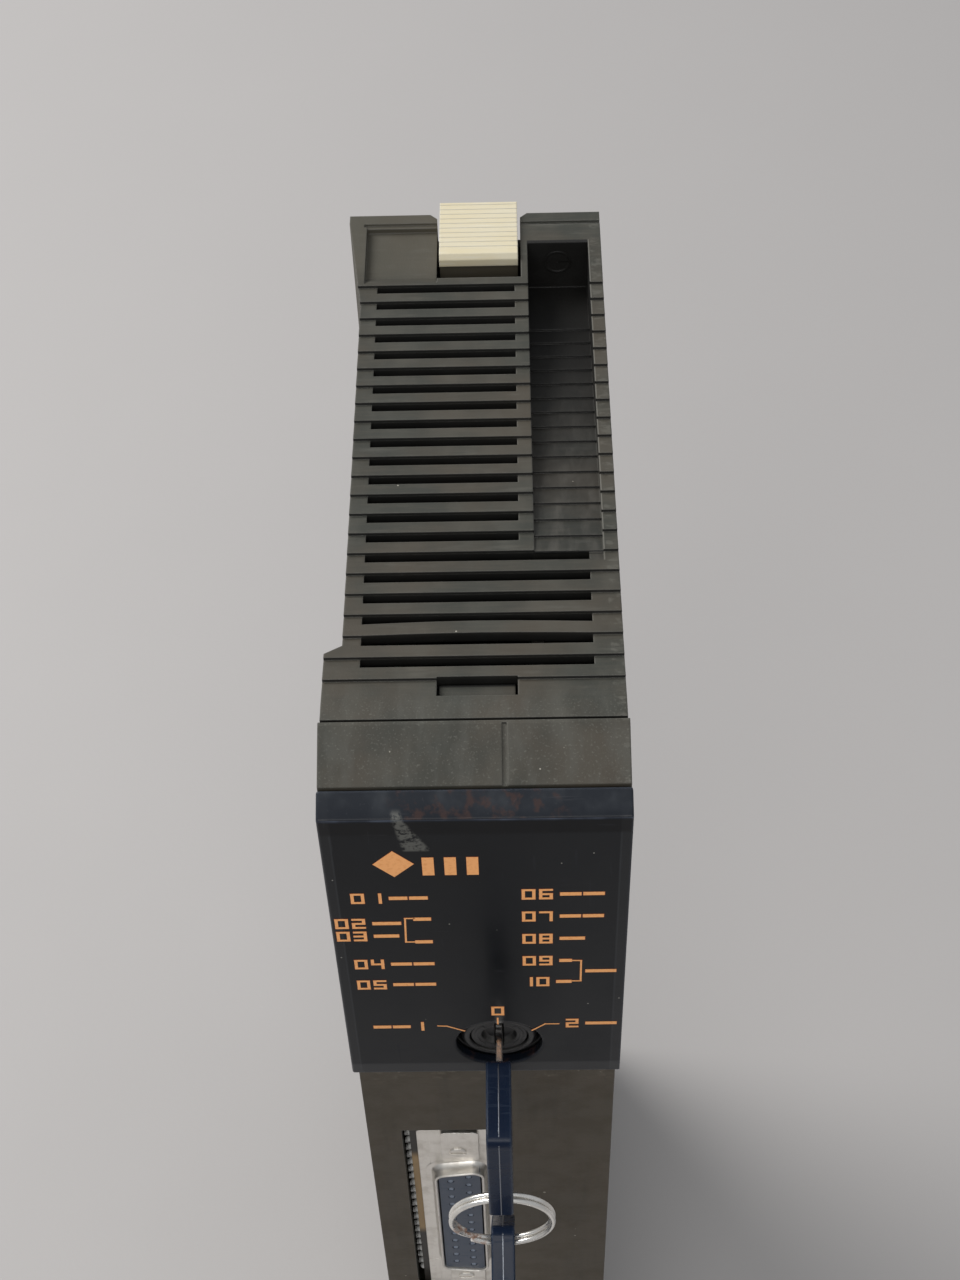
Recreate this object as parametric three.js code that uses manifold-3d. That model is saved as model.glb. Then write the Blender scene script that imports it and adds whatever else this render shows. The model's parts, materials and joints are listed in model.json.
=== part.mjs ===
// Rack-mounted positioning module for a programmable controller.
// A tall, narrow plug-in module: a vented case around two circuit boards, a smoked
// indicator window with a key switch, front ports, a rear plug and a sprung release latch.
//
// Millimetres, +Z up. The origin is the middle of the case's bottom face.
// +X is the module's right side seen from the front, and the front faces -Y.

import * as THREE from 'three';
import { mergeVertices } from 'three/addons/utils/BufferGeometryUtils.js';
import Module from 'manifold-3d';

const wasm = await Module();
wasm.setup();

// ---------------------------------------------------------------- driving dimensions

const HEIGHT = 250;
const WIDTH = 37.5;
const CASE_DEPTH = 105;
const FRONT = -CASE_DEPTH / 2;
const BACK = CASE_DEPTH / 2;
const GAP = 0.3;
const WALL = 1.8;

// case outline in plan
const CASE_HALF = WIDTH / 2 - 0.35;
const FLANK_INSET = 2.2;
const FLANK_FRONT = FRONT + 22.9;
const FLANK_BACK = FRONT + 85.5;
const FLARE_END = FRONT + 103.2;
const RIGHT_WALL = CASE_HALF - WALL;
const COVER_REBATE = 1.1;
const COVER_MARGIN = 4;
const COVER_TOP = 239.2;

// front faces, from the foremost (window) back
const LOWER_FACE = FRONT + 3.6;
const HOOD_BACK = FRONT + 10.9;
const WINDOW_TOP = HEIGHT - 5;
const WINDOW_FOOT = WINDOW_TOP - 61.8;

// louvred top
const LOUVRE_PITCH = 3.43;
const LOUVRE_REAR = FRONT + 89.4;
const LOUVRE_COUNT = 22;
const LIP_DROP = 0.45;
const SLOT_WIDTH = 1.4;
const SLOT_BEHIND_LIP = 0.02;
const SLOT_LEFT = -13.9;
const SHORT_SLOT_RIGHT = 5.75;
const LONG_SLOT_RIGHT = 14.7;
const SHORT_SLOTS = 15;
const WARPED_BAR = 18;
const WARP = { front: 0.4, rear: 0.3 };

// sloping channel beside the short slots
const CHANNEL_LEFT = 7.7;
const CHANNEL_RIGHT = 16.5;
const CHANNEL_FRONT = FRONT + 36.5;
const CHANNEL_BACK = FRONT + 98.2;
const CHANNEL_DEPTH = 8.5;
const CHANNEL_LIPS = { first: FRONT + 37.7, pitch: 3.3, count: 16, drop: 0.35 };

// release latch notch in the top rear edge
const LATCH_X = 0.6;
const LATCH_HALF = 5.7;
const NOTCH_HALF = 6.1;
const NOTCH_FRONT = FRONT + 90.8;
const LATCH_PIVOT = [FRONT + 96.2, HEIGHT - 7.2];

// key switch
const LOCK_X = 2;
const LOCK_Z = WINDOW_TOP - 53.8;
const LOCK_HOLE_R = 5.9;
const LOCK_R = 5.25;
const BLADE_HEIGHT = 6;
const BLADE_THICK = 0.9;
const BOW_NEAR = FRONT - 8;
const BOW_LENGTH = 12.2;
const BOW_HEIGHT = 22.6;
const BOW_DROP = 0.5;
const BOW_THICK = 3.3;
const BOW_HOLE_R = 1.8;
const BOW_HOLE_INSET = [2.4, 2.6];
const RING_R = 7;
const RING_WIRE = 0.4;

// ports: 25-way above, 37-way below
const PORT_X = -5;
const FLANGE_WIDTH = 12.5;
const SHELL_WIDTH = 7.9;
const UPPER_PORT = { z: 126.5, flange: 53.04, screws: 47.04, shell: 38.3, way: 13 };
const LOWER_PORT = { z: 52.5, flange: 69.32, screws: 63.5, shell: 54.8, way: 19 };
const CONTACT_PITCH = 2.77;
const ROW_GAP = 2.84;
const HEADER_PITCH = 2.54;
const FLANGE_FACE = LOWER_FACE + 1;
const FLANGE_PLATE = 0.9;
const COLLAR = 2.2;

// circuit boards
const BOARD = 1.6;
const MAIN_X = -12.4;
const SECOND_X = 7.4;
const BOARD_FRONT = LOWER_FACE + WALL + 0.4;
const BOARD_BACK = BACK - 6;
const BOARD_FOOT = 16;
const BOARD_TOP = 229.5;

// indicator rows
const LAMP_ROWS = 5;
const LAMP_TOP = WINDOW_TOP - 16.6;
const LAMP_PITCH = 5.27;
const LAMP_COLUMNS = { left: -11.2, right: 10.2 };

// ---------------------------------------------------------------- materials

const finish = (color, roughness, metalness = 0) =>
  new THREE.MeshStandardMaterial({ color, roughness, metalness });

const casePlastic = finish(0x4b463c, 0.75);
const windowPlastic = finish(0x14171b, 0.15);
const blackPlastic = finish(0x17181a, 0.5);
const ivoryPlastic = finish(0xe6ddc4, 0.6);
const bluePlastic = finish(0x2a3c58, 0.45);
const portBlue = finish(0x45566e, 0.5);
const nickel = finish(0xb9b5ae, 0.3, 1);
const steel = finish(0xa8a9ab, 0.35, 1);
const brass = finish(0xb08a4c, 0.35, 1);
const gold = finish(0xc9a24d, 0.3, 1);
const boardGreen = finish(0x2c5a3a, 0.5);
const lampRed = finish(0x9c2a1e, 0.3);
const batteryWrap = finish(0x3b4f8a, 0.4);

// ---------------------------------------------------------------- solids

function toSolid(geometry) {
  geometry.deleteAttribute('normal');
  geometry.deleteAttribute('uv');
  const merged = mergeVertices(geometry, 1e-5);
  const index = merged.index.array;
  const triangles = [];
  for (let i = 0; i < index.length; i += 3) {
    const [a, b, c] = [index[i], index[i + 1], index[i + 2]];
    if (a !== b && b !== c && c !== a) triangles.push(a, b, c);
  }
  const mesh = new wasm.Mesh({
    numProp: 3,
    vertProperties: new Float32Array(merged.attributes.position.array),
    triVerts: new Uint32Array(triangles),
  });
  return new wasm.Manifold(mesh);
}

function toMesh(name, solid, material) {
  const data = solid.getMesh();
  const geometry = new THREE.BufferGeometry();
  geometry.setAttribute('position', new THREE.BufferAttribute(new Float32Array(data.vertProperties), 3));
  geometry.setIndex(new THREE.BufferAttribute(new Uint32Array(data.triVerts), 1));
  geometry.computeVertexNormals();
  const mesh = new THREE.Mesh(geometry, material);
  mesh.name = name;
  return mesh;
}

function block([x0, x1], [y0, y1], [z0, z1]) {
  const geometry = new THREE.BoxGeometry(x1 - x0, y1 - y0, z1 - z0);
  geometry.translate((x0 + x1) / 2, (y0 + y1) / 2, (z0 + z1) / 2);
  return toSolid(geometry);
}

function prism(points, depth, basis) {
  const shape = points instanceof THREE.Shape
    ? points
    : new THREE.Shape(points.map(([u, v]) => new THREE.Vector2(u, v)));
  const geometry = new THREE.ExtrudeGeometry(shape, { depth, bevelEnabled: false, curveSegments: 8 });
  geometry.applyMatrix4(basis);
  return toSolid(geometry);
}

// A (y, z) outline drawn out along X.
function alongX(points, [x0, x1]) {
  const basis = new THREE.Matrix4().set(0, 0, 1, x0, 1, 0, 0, 0, 0, 1, 0, 0, 0, 0, 0, 1);
  return prism(points, x1 - x0, basis);
}

// An (x, z) outline drawn out along Y.
function alongY(points, [y0, y1]) {
  const basis = new THREE.Matrix4().set(1, 0, 0, 0, 0, 0, -1, y1, 0, 1, 0, 0, 0, 0, 0, 1);
  return prism(points, y1 - y0, basis);
}

// An (x, y) outline drawn out along Z.
function alongZ(points, [z0, z1]) {
  return prism(points, z1 - z0, new THREE.Matrix4().makeTranslation(0, 0, z0));
}

const TURN_TO = {
  x: new THREE.Matrix4().makeRotationZ(-Math.PI / 2),
  y: new THREE.Matrix4(),
  z: new THREE.Matrix4().makeRotationX(Math.PI / 2),
};

// A turned piece: (radius, position) pairs about the named axis through a centre.
function turned(axis, profile, centre, sides = 24) {
  const points = profile.map(([radius, along]) => new THREE.Vector2(radius, along));
  const geometry = new THREE.LatheGeometry(points, sides);
  geometry.applyMatrix4(TURN_TO[axis]);
  geometry.translate(...centre);
  return toSolid(geometry);
}

// A plain cylinder between two positions along an axis.
function rod(axis, radius, [from, to], centre, sides = 24) {
  return turned(axis, [[0, from], [radius, from], [radius, to], [0, to]], centre, sides);
}

const joined = (solids) => solids.reduce((sum, next) => sum.add(next));
const cut = (solid, tools) => tools.reduce((rest, tool) => rest.subtract(tool), solid);
const rowsOf = (count) => Array.from({ length: count }, (_, i) => i);

// ---------------------------------------------------------------- case

function caseOutline(offset = 0) {
  const left = -CASE_HALF + offset;
  const right = CASE_HALF - offset;
  const inset = left + FLANK_INSET;
  return [
    [left, FRONT - 1],
    [right, FRONT - 1],
    [right, BACK],
    [left, BACK],
    [left, FLARE_END],
    [inset, FLANK_BACK],
    [inset, FLANK_FRONT],
    [left, FLANK_FRONT - 1.4],
  ];
}

// How far the left flank stands in at a given depth.
function flankOffset(y) {
  const marks = [
    [FLANK_FRONT - 1.4, 0],
    [FLANK_FRONT, FLANK_INSET],
    [FLANK_BACK, FLANK_INSET],
    [FLARE_END, 0],
  ];
  const next = marks.findIndex(([mark]) => y < mark);
  if (next <= 0) return 0;
  const [y0, a] = marks[next - 1];
  const [y1, b] = marks[next];
  return a + ((b - a) * (y - y0)) / (y1 - y0);
}

// Where a post that stands on the left wall's inner face starts, rooted a little way into the wall.
const postRoot = (y) => -CASE_HALF + WALL - 0.6 + flankOffset(y);

// Side silhouette of the case: recessed lower face, stepped back behind the hood.
function caseSide(inset = 0) {
  return [
    [LOWER_FACE + inset, inset],
    [BACK - inset, inset],
    [BACK - inset, HEIGHT - inset],
    [HOOD_BACK + GAP + inset, HEIGHT - inset],
    [HOOD_BACK + GAP + inset, WINDOW_FOOT - GAP - inset],
    [LOWER_FACE + inset, WINDOW_FOOT - GAP - inset],
  ];
}

// Side silhouette of the cover that closes the right flank.
function coverSide(inset = 0) {
  const front = LOWER_FACE + COVER_MARGIN + inset;
  const frontAbove = HOOD_BACK + COVER_MARGIN + 0.4 + inset;
  const rear = BACK - COVER_MARGIN - inset;
  const [foot, step, top] = [COVER_MARGIN + inset, WINDOW_FOOT - COVER_MARGIN - inset, COVER_TOP - inset];
  return [[front, foot], [rear, foot], [rear, top], [frontAbove, top], [frontAbove, step], [front, step]];
}

// The shingled top surface: each louvre rises to a lip, then drops.
function louvreWedges(x) {
  return rowsOf(LOUVRE_COUNT).map((i) => {
    const rear = LOUVRE_REAR - i * LOUVRE_PITCH;
    const front = rear - LOUVRE_PITCH;
    const outline = [
      [front + 0.01, HEIGHT + 1],
      [front + 0.01, HEIGHT],
      [rear, HEIGHT - LIP_DROP],
      [rear, HEIGHT + 1],
    ];
    return alongX(outline, x);
  });
}

// A slot beside the bar that heat has bowed rearwards.
function warpedSlot([left, right], [front, rear], [bowFront, bowRear], depth) {
  const steps = rowsOf(7).map((i) => i / 6);
  const edge = (y, bow) => steps.map((t) => [left + (right - left) * t, y + bow * Math.sin(Math.PI * t)]);
  const ends = bowFront > 0 ? [...edge(front, bowFront), [right, rear], [left, rear]]
    : [[left, front], [right, front], ...edge(rear, bowRear).reverse()];
  return alongZ(ends, depth);
}

function louvreSlots() {
  const depth = [HEIGHT - WALL - 1, HEIGHT + 1];
  return rowsOf(LOUVRE_COUNT - 1).map((i) => {
    const rear = LOUVRE_REAR - i * LOUVRE_PITCH - SLOT_BEHIND_LIP;
    const right = i < SHORT_SLOTS ? SHORT_SLOT_RIGHT : LONG_SLOT_RIGHT;
    const bowFront = i === WARPED_BAR ? WARP.front : 0;
    const bowRear = i === WARPED_BAR + 1 ? WARP.rear : 0;
    if (bowFront + bowRear === 0) return block([SLOT_LEFT, right], [rear - SLOT_WIDTH, rear], depth);
    return warpedSlot([SLOT_LEFT, right], [rear - SLOT_WIDTH, rear], [bowFront, bowRear], depth);
  });
}

const channelFloor = (y) => {
  const t = (y - CHANNEL_FRONT) / (CHANNEL_BACK - CHANNEL_FRONT);
  return HEIGHT - CHANNEL_DEPTH * t;
};

function channelOutline(drop = 0) {
  const { first, pitch, count, drop: lip } = CHANNEL_LIPS;
  const lips = drop > 0 ? [] : rowsOf(count).flatMap((i) => {
    const y = first + i * pitch;
    return [[y, channelFloor(y) - lip], [y + 0.01, channelFloor(y)]];
  });
  return [
    [CHANNEL_FRONT, HEIGHT + 1],
    [CHANNEL_FRONT, HEIGHT - 0.05 - drop],
    ...lips,
    [CHANNEL_BACK + drop, channelFloor(CHANNEL_BACK) - drop],
    [CHANNEL_BACK + drop, HEIGHT + 1],
  ];
}

const SCREW_POSTS = [
  [FRONT + 15, 11],
  [BACK - 10.5, 11],
  [FRONT + 24, 233.2],
  [BACK - 24, 233.2],
];

const BOARD_POSTS = [
  [BOARD_FRONT + 20, BOARD_FOOT + 5],
  [BOARD_BACK - 6, BOARD_FOOT + 5],
  [BOARD_FRONT + 14, BOARD_TOP - 9],
  [BOARD_BACK - 6, BOARD_TOP - 5],
];

function portOpening({ z, flange }) {
  const high = [z - flange / 2 - 3.4, z + flange / 2 + 5];
  return block([PORT_X - 8.3, PORT_X + 6.6], [LOWER_FACE - 2, LOWER_FACE + 3], high);
}

function bottomSlots() {
  const slots = [];
  for (let i = 0; i < 17; i += 1) {
    const y = FRONT + 18 + i * 4.4;
    const reach = [[-13.5, -2.5], [2.5, 14]];
    reach.forEach((x) => slots.push(block(x, [y, y + 1.8], [-1, WALL + 1])));
  }
  return slots;
}

function rearHook(x) {
  const outline = [
    [BACK - 0.5, 6],
    [BACK + 5.5, 6],
    [BACK + 5.5, 3.2],
    [BACK + 7.5, 3.2],
    [BACK + 7.5, 9.5],
    [BACK + 6.2, 11],
    [BACK - 0.5, 11],
  ];
  return alongX(outline, [x - 3.5, x + 3.5]);
}

function makeCaseShell() {
  const across = [-CASE_HALF, CASE_HALF];
  const outer = alongX(caseSide(), across).intersect(alongZ(caseOutline(), [-1, HEIGHT + 1]));
  const room = alongX(caseSide(WALL), across).intersect(alongZ(caseOutline(WALL), [-1, HEIGHT + 1]));
  const hoodMouth = block(
    [-CASE_HALF + WALL, RIGHT_WALL],
    [HOOD_BACK - 1, HOOD_BACK + WALL + 1],
    [WINDOW_FOOT - GAP, HEIGHT - WALL - 2],
  );
  let shell = cut(outer, [room, hoodMouth]);

  // walls of the sloping channel and of the latch notch
  const channelBox = alongX(channelOutline(1.4), [CHANNEL_LEFT - 1.1, CASE_HALF - 0.5]);
  shell = shell.add(channelBox.intersect(block(across, [FRONT, BACK], [0, HEIGHT])));
  const latchEars = [-1, 1].map((side) => {
    const inner = LATCH_X + side * NOTCH_HALF;
    const outerX = inner + side * 1;
    const x = [Math.min(inner, outerX), Math.max(inner, outerX)];
    return block(x, [NOTCH_FRONT - 1.5, BACK - 0.5], [LATCH_PIVOT[1] - 4, HEIGHT - 0.5]);
  });
  const springLedge = block(
    [LATCH_X - NOTCH_HALF, LATCH_X + NOTCH_HALF],
    [BACK - 9, BACK - WALL + 0.5],
    [HEIGHT - 17, HEIGHT - 15.4],
  );
  const latchLedge = block(
    [LATCH_X - NOTCH_HALF - 0.5, LATCH_X + NOTCH_HALF + 0.5],
    [NOTCH_FRONT - 0.5, FRONT + 93.4],
    [HEIGHT - 3.6, HEIGHT - 2.4],
  );
  shell = joined([shell, ...latchEars, springLedge]);

  const posts = SCREW_POSTS.map(([y, z]) => rod('x', 3, [postRoot(y), RIGHT_WALL - GAP], [0, y, z], 18));
  const stubs = BOARD_POSTS.map(([y, z]) => rod('x', 3, [postRoot(y), MAIN_X - 0.1], [0, y, z], 14));
  shell = joined([shell, ...posts, ...stubs, rearHook(-9), rearHook(9)]);

  const pocket = alongX(
    [[NOTCH_FRONT - 1, HEIGHT + 1], [NOTCH_FRONT - 1, HEIGHT], [NOTCH_FRONT + 1.4, HEIGHT - 1.2],
      [BACK - 2.6, HEIGHT - 1.2], [BACK - 2.6, HEIGHT + 1]],
    [-CASE_HALF + 2.6, LATCH_X - NOTCH_HALF + 0.1],
  );
  const rimGrooves = [
    [LATCH_X + NOTCH_HALF, CASE_HALF],
    [-CASE_HALF + FLANK_INSET, LATCH_X - NOTCH_HALF],
  ].map((x) => block(x, [BACK - 2.6, BACK - 1.9], [HEIGHT - 0.4, HEIGHT + 1]));
  const notchLeft = LATCH_X - NOTCH_HALF;
  const notchRight = LATCH_X + NOTCH_HALF;
  const notch = block([notchLeft, notchRight], [NOTCH_FRONT, BACK - WALL], [HEIGHT - 15, HEIGHT + 1]);
  const notchMouth = alongZ(
    [[notchLeft, BACK - 2.6], [notchRight, BACK - 2.6], [notchRight, BACK - 1], [notchRight + 1, BACK],
      [notchRight + 1, BACK + 1], [notchLeft - 1, BACK + 1], [notchLeft - 1, BACK],
      [notchLeft, BACK - 1]],
    [HEIGHT - 5, HEIGHT + 1],
  );
  const clipWindow = block([-4.5, 5.35], [FRONT + 14.7, FRONT + 17.6], [HEIGHT - WALL - 1, HEIGHT + 1]);
  const clipTunnel = block([-4.5, 5.35], [HOOD_BACK, FRONT + 14.8], [HEIGHT - 2.4, HEIGHT - 0.95]);
  const coverMouth = alongX(coverSide(1.8), [RIGHT_WALL - 1, CASE_HALF + 1]);
  const coverRebate = alongX(coverSide(), [CASE_HALF - COVER_REBATE, CASE_HALF + 1]);
  const plugX = [MAIN_X + BOARD - 0.4, MAIN_X + BOARD + 11.4];
  const plug = block(plugX, [BACK - WALL - 1, BACK + 1], [109, 207]);
  const pinHole = rod('x', 1.1, [notchLeft - 2, notchRight + 0.9], [0, ...LATCH_PIVOT], 16);
  const bore = [RIGHT_WALL - 12, RIGHT_WALL + 1];
  const screwHoles = SCREW_POSTS.map(([y, z]) => rod('x', 1.35, bore, [0, y, z], 12));
  const stub = [MAIN_X - 2.8, MAIN_X + 1];
  const stubHoles = BOARD_POSTS.map(([y, z]) => rod('x', 1.1, stub, [0, y, z], 10));
  shell = cut(shell, [coverMouth.subtract(joined(posts)), coverRebate]);
  return cut(cut(shell, [notch]).add(latchLedge), [
    ...louvreWedges([-CASE_HALF - 1, CASE_HALF + 1]),
    ...louvreSlots(),
    alongX(channelOutline(), [CHANNEL_LEFT, CHANNEL_RIGHT]),
    pocket,
    ...rimGrooves,
    notchMouth,
    clipWindow,
    clipTunnel,
    plug,
    pinHole,
    ...screwHoles,
    ...stubHoles,
    ...bottomSlots(),
    portOpening(UPPER_PORT),
    portOpening(LOWER_PORT),
  ]);
}

function makeSideCover() {
  const plate = alongX(coverSide(GAP), [CASE_HALF - COVER_REBATE + 0.2, CASE_HALF]);
  const panel = alongX(coverSide(1.8 + GAP), [RIGHT_WALL, CASE_HALF - COVER_REBATE + 0.3]);
  const through = [RIGHT_WALL - 1, CASE_HALF + 1];
  const holes = SCREW_POSTS.map(([y, z]) => rod('x', 1.7, through, [0, y, z], 14));
  const sinks = SCREW_POSTS.map(([y, z]) => rod('x', 3, [CASE_HALF - 1.1, CASE_HALF + 1], [0, y, z], 18));
  return cut(plate.add(panel), [...holes, ...sinks]);
}

function makeCaseScrew(i) {
  const [y, z] = SCREW_POSTS[i];
  const head = CASE_HALF - 0.15;
  const shank = head - 0.9;
  const profile = [[0, head - 9], [1.15, head - 9], [1.15, shank], [2.7, shank], [2.7, head], [0, head]];
  const slot = block([head - 0.5, head + 1], [y - 3, y + 3], [z - 0.35, z + 0.35]);
  return turned('x', profile, [0, y, z], 16).subtract(slot);
}

// ---------------------------------------------------------------- hood and window

const HOOD_HALF = WIDTH / 2 - 0.12;

// Side silhouette of the hood, sloping up and back from the window's bevel.
function hoodSide(inset = 0) {
  return [
    [FRONT + 3.6, WINDOW_FOOT + inset],
    [HOOD_BACK, WINDOW_FOOT + inset],
    [HOOD_BACK, HEIGHT - inset],
    [HOOD_BACK - 0.5 - inset * 0.6, HEIGHT - inset],
    [FRONT + 3.6, HEIGHT - 3.2 - inset],
  ];
}

function makeHood() {
  const shell = alongX(hoodSide(), [-HOOD_HALF, HOOD_HALF]);
  const hollowSide = hoodSide(1.6).map(([y, z]) => [y > HOOD_BACK - 0.4 ? y + 1 : y, z]);
  hollowSide[0][0] -= 1;
  hollowSide[4][0] -= 1;
  const room = alongX(hollowSide, [-HOOD_HALF + 1.6, HOOD_HALF - 1.6]);
  const rim = block(
    [-HOOD_HALF + 1.4, HOOD_HALF - 1.4],
    [FRONT + 3.2, FRONT + 5.4],
    [WINDOW_FOOT + 1.6, HEIGHT - 5.6],
  );
  const rimMouth = block(
    [-HOOD_HALF + 3.2, HOOD_HALF - 3.2],
    [FRONT + 2, FRONT + 6],
    [WINDOW_FOOT + 2.4, HEIGHT - 7.2],
  );
  const tongue = block([-4.2, 5.05], [HOOD_BACK - 2.5, FRONT + 17.2], [HEIGHT - 2.05, HEIGHT - 1.2]);
  const groove = alongX(
    [
      [FRONT + 3.4, HEIGHT - 3.5],
      [HOOD_BACK - 0.4, HEIGHT - 0.25],
      [HOOD_BACK - 0.4, HEIGHT + 1],
      [FRONT + 3.4, HEIGHT + 1],
    ],
    [3.35, 3.95],
  );
  return cut(joined([shell.subtract(room), rim.subtract(rimMouth), tongue]), [groove]);
}

// The window is a shallow smoked cap: face, bevelled top, bottom return and side returns.
function windowSide(inset = 0) {
  return [
    [FRONT + inset, WINDOW_FOOT + inset],
    [FRONT + 3.3, WINDOW_FOOT + inset],
    [FRONT + 3.3, HEIGHT - 3.3 - inset],
    [FRONT + inset, WINDOW_TOP - inset * 0.5],
  ];
}

function makeWindow() {
  const cap = alongX(windowSide(), [-WIDTH / 2, WIDTH / 2]);
  const hollow = windowSide(1.5).map(([y, z], i) => [i === 1 || i === 2 ? y + 1 : y, z]);
  const room = alongX(hollow, [-WIDTH / 2 + 1.4, WIDTH / 2 - 1.4]);
  const keyHole = rod('y', LOCK_HOLE_R, [FRONT - 1, FRONT + 3], [LOCK_X, 0, LOCK_Z], 40);
  return cut(cap, [room, keyHole]);
}

function makeLegendPlate() {
  const plate = block([-17, 17], [FRONT + 1.8, FRONT + 2.7], [WINDOW_FOOT + 1.9, WINDOW_TOP - 1.6]);
  const keyHole = rod('y', LOCK_R + 0.6, [FRONT, FRONT + 4], [LOCK_X, 0, LOCK_Z], 32);
  const lamps = [];
  for (const x of Object.values(LAMP_COLUMNS)) {
    for (let i = 0; i < LAMP_ROWS; i += 1) {
      const z = LAMP_TOP - i * LAMP_PITCH;
      lamps.push(block([x - 3.6, x + 3.6], [FRONT, FRONT + 4], [z - 1.2, z + 1.2]));
    }
  }
  return cut(plate, [keyHole, ...lamps]);
}

// A strip of five lamps with square lenses that stand in the legend's slots.
function makeLampBar(x) {
  const low = LAMP_TOP - (LAMP_ROWS - 1) * LAMP_PITCH - 2.4;
  const strip = block([x - 4, x + 4], [FRONT + 4.2, FRONT + 8.6], [low, LAMP_TOP + 2.4]);
  const lenses = rowsOf(LAMP_ROWS).map((i) => {
    const z = LAMP_TOP - i * LAMP_PITCH;
    return block([x - 3.2, x + 3.2], [FRONT + 2, FRONT + 4.3], [z - 0.85, z + 0.85]);
  });
  return joined([strip, ...lenses]);
}

function makeIndicatorBoard() {
  const face = FRONT + 8.9;
  const board = block([-15.5, 15], [face, face + BOARD], [WINDOW_FOOT + 3.6, WINDOW_TOP - 5]);
  const barrel = rod('y', LOCK_R + 0.25, [FRONT + 8, FRONT + 12], [LOCK_X, 0, LOCK_Z], 28);
  return cut(board, [barrel]);
}

function makeIndicatorHeader() {
  const y = [FRONT + 8.9 + BOARD + 0.1, FRONT + 15];
  return block([MAIN_X + BOARD + 0.1, MAIN_X + BOARD + 3.4], y, [205, 230]);
}

// ---------------------------------------------------------------- key switch and keys

const LOCK_FACE = FRONT + 0.9;
const ROTOR_R = 3.9;
const LOCK_SHOULDER = FRONT + 8.9 + BOARD + 0.1;
const LOCK_REAR = FRONT + 26;
const LOCK_BODY_R = 6.1;
const NUT_CORNER_R = 7;

function makeLockBarrel() {
  const profile = [
    [ROTOR_R + 0.15, LOCK_FACE],
    [LOCK_R - 0.5, LOCK_FACE],
    [LOCK_R, LOCK_FACE + 0.5],
    [LOCK_R, LOCK_SHOULDER],
    [LOCK_BODY_R, LOCK_SHOULDER],
    [LOCK_BODY_R, LOCK_REAR],
    [ROTOR_R + 0.15, LOCK_REAR],
    [ROTOR_R + 0.15, LOCK_FACE],
  ];
  return turned('y', profile, [LOCK_X, 0, LOCK_Z], 32);
}

function makeLockNut() {
  const hexagon = rowsOf(6).map((i) => {
    const angle = (i * Math.PI) / 3;
    return [LOCK_X + NUT_CORNER_R * Math.cos(angle), LOCK_Z + NUT_CORNER_R * Math.sin(angle)];
  });
  const y = [FRONT + 6.2, FRONT + 8.7];
  const thread = rod('y', LOCK_R + 0.15, [FRONT, FRONT + 12], [LOCK_X, 0, LOCK_Z], 28);
  return alongY(hexagon, y).subtract(thread);
}

// The turning core, with a wide dished face and a keyway that runs its length.
function makeLockRotor() {
  const profile = [
    [0, LOCK_FACE + 1.2],
    [2, LOCK_FACE + 1.2],
    [2.5, LOCK_FACE + 0.3],
    [ROTOR_R, LOCK_FACE + 0.3],
    [ROTOR_R, LOCK_REAR + 1.5],
    [0, LOCK_REAR + 1.5],
  ];
  const core = turned('y', profile, [LOCK_X, 0, LOCK_Z], 28);
  const keyway = block(
    [LOCK_X - BLADE_THICK / 2 - 0.15, LOCK_X + BLADE_THICK / 2 + 0.15],
    [LOCK_FACE - 1, FRONT + 18.6],
    [LOCK_Z - BLADE_HEIGHT / 2 - 0.2, LOCK_Z + BLADE_HEIGHT / 2 + 0.2],
  );
  return core.subtract(keyway);
}

function makeSwitchBlock() {
  const y = [LOCK_REAR + 0.2, LOCK_REAR + 10];
  const box = block([LOCK_X - 6.5, LOCK_X + 5], y, [LOCK_Z - 7, LOCK_Z + 7]);
  const bore = rod('y', ROTOR_R + 0.3, [LOCK_REAR - 1, LOCK_REAR + 1.8], [LOCK_X, 0, LOCK_Z], 24);
  const lugs = [-5, 0, 5].map((dz) => {
    const z = LOCK_Z + dz;
    return block([LOCK_X - 1, LOCK_X + 1], [y[1] - 0.2, y[1] + 4], [z - 0.4, z + 0.4]);
  });
  return joined([box.subtract(bore), ...lugs]);
}

// Keys are drawn in the YZ plane: blade tip towards +Y, bow towards -Y, centred on (0, 0).
const BOW_FAR = BOW_NEAR - BOW_LENGTH;
const BOW_FOOT = -BOW_HEIGHT / 2 - BOW_DROP;
const KEY_HOLE = [BOW_FAR + BOW_HOLE_INSET[0], BOW_FOOT + BOW_HOLE_INSET[1]];
const BLADE_TIP = FRONT + 17.6;

function bowOutline() {
  const r = 1.6;
  const [y0, y1, z0, z1] = [BOW_FAR, BOW_NEAR, BOW_FOOT, BOW_FOOT + BOW_HEIGHT];
  const shape = new THREE.Shape();
  shape.moveTo(y0 + r, z0);
  shape.lineTo(y1 - r, z0);
  shape.quadraticCurveTo(y1, z0, y1, z0 + r);
  shape.lineTo(y1, z1 - r);
  shape.quadraticCurveTo(y1, z1, y1 - r, z1);
  shape.lineTo(y0 + r, z1);
  shape.quadraticCurveTo(y0, z1, y0, z1 - r);
  shape.lineTo(y0, z0 + r);
  shape.quadraticCurveTo(y0, z0, y0 + r, z0);
  return shape;
}

const BOW_SLOT = { half: BLADE_THICK / 2 + 0.1, depth: 6.5 };

function keyBow() {
  const body = alongX(bowOutline(), [-BOW_THICK / 2, BOW_THICK / 2]);
  const hole = rod('x', BOW_HOLE_R, [-BOW_THICK, BOW_THICK], [0, ...KEY_HOLE], 20);
  const slot = block(
    [-BOW_SLOT.half, BOW_SLOT.half],
    [BOW_NEAR - BOW_SLOT.depth, BOW_NEAR + 1],
    [-4.2, 4.2],
  );
  return cut(body, [hole, slot]);
}

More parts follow.
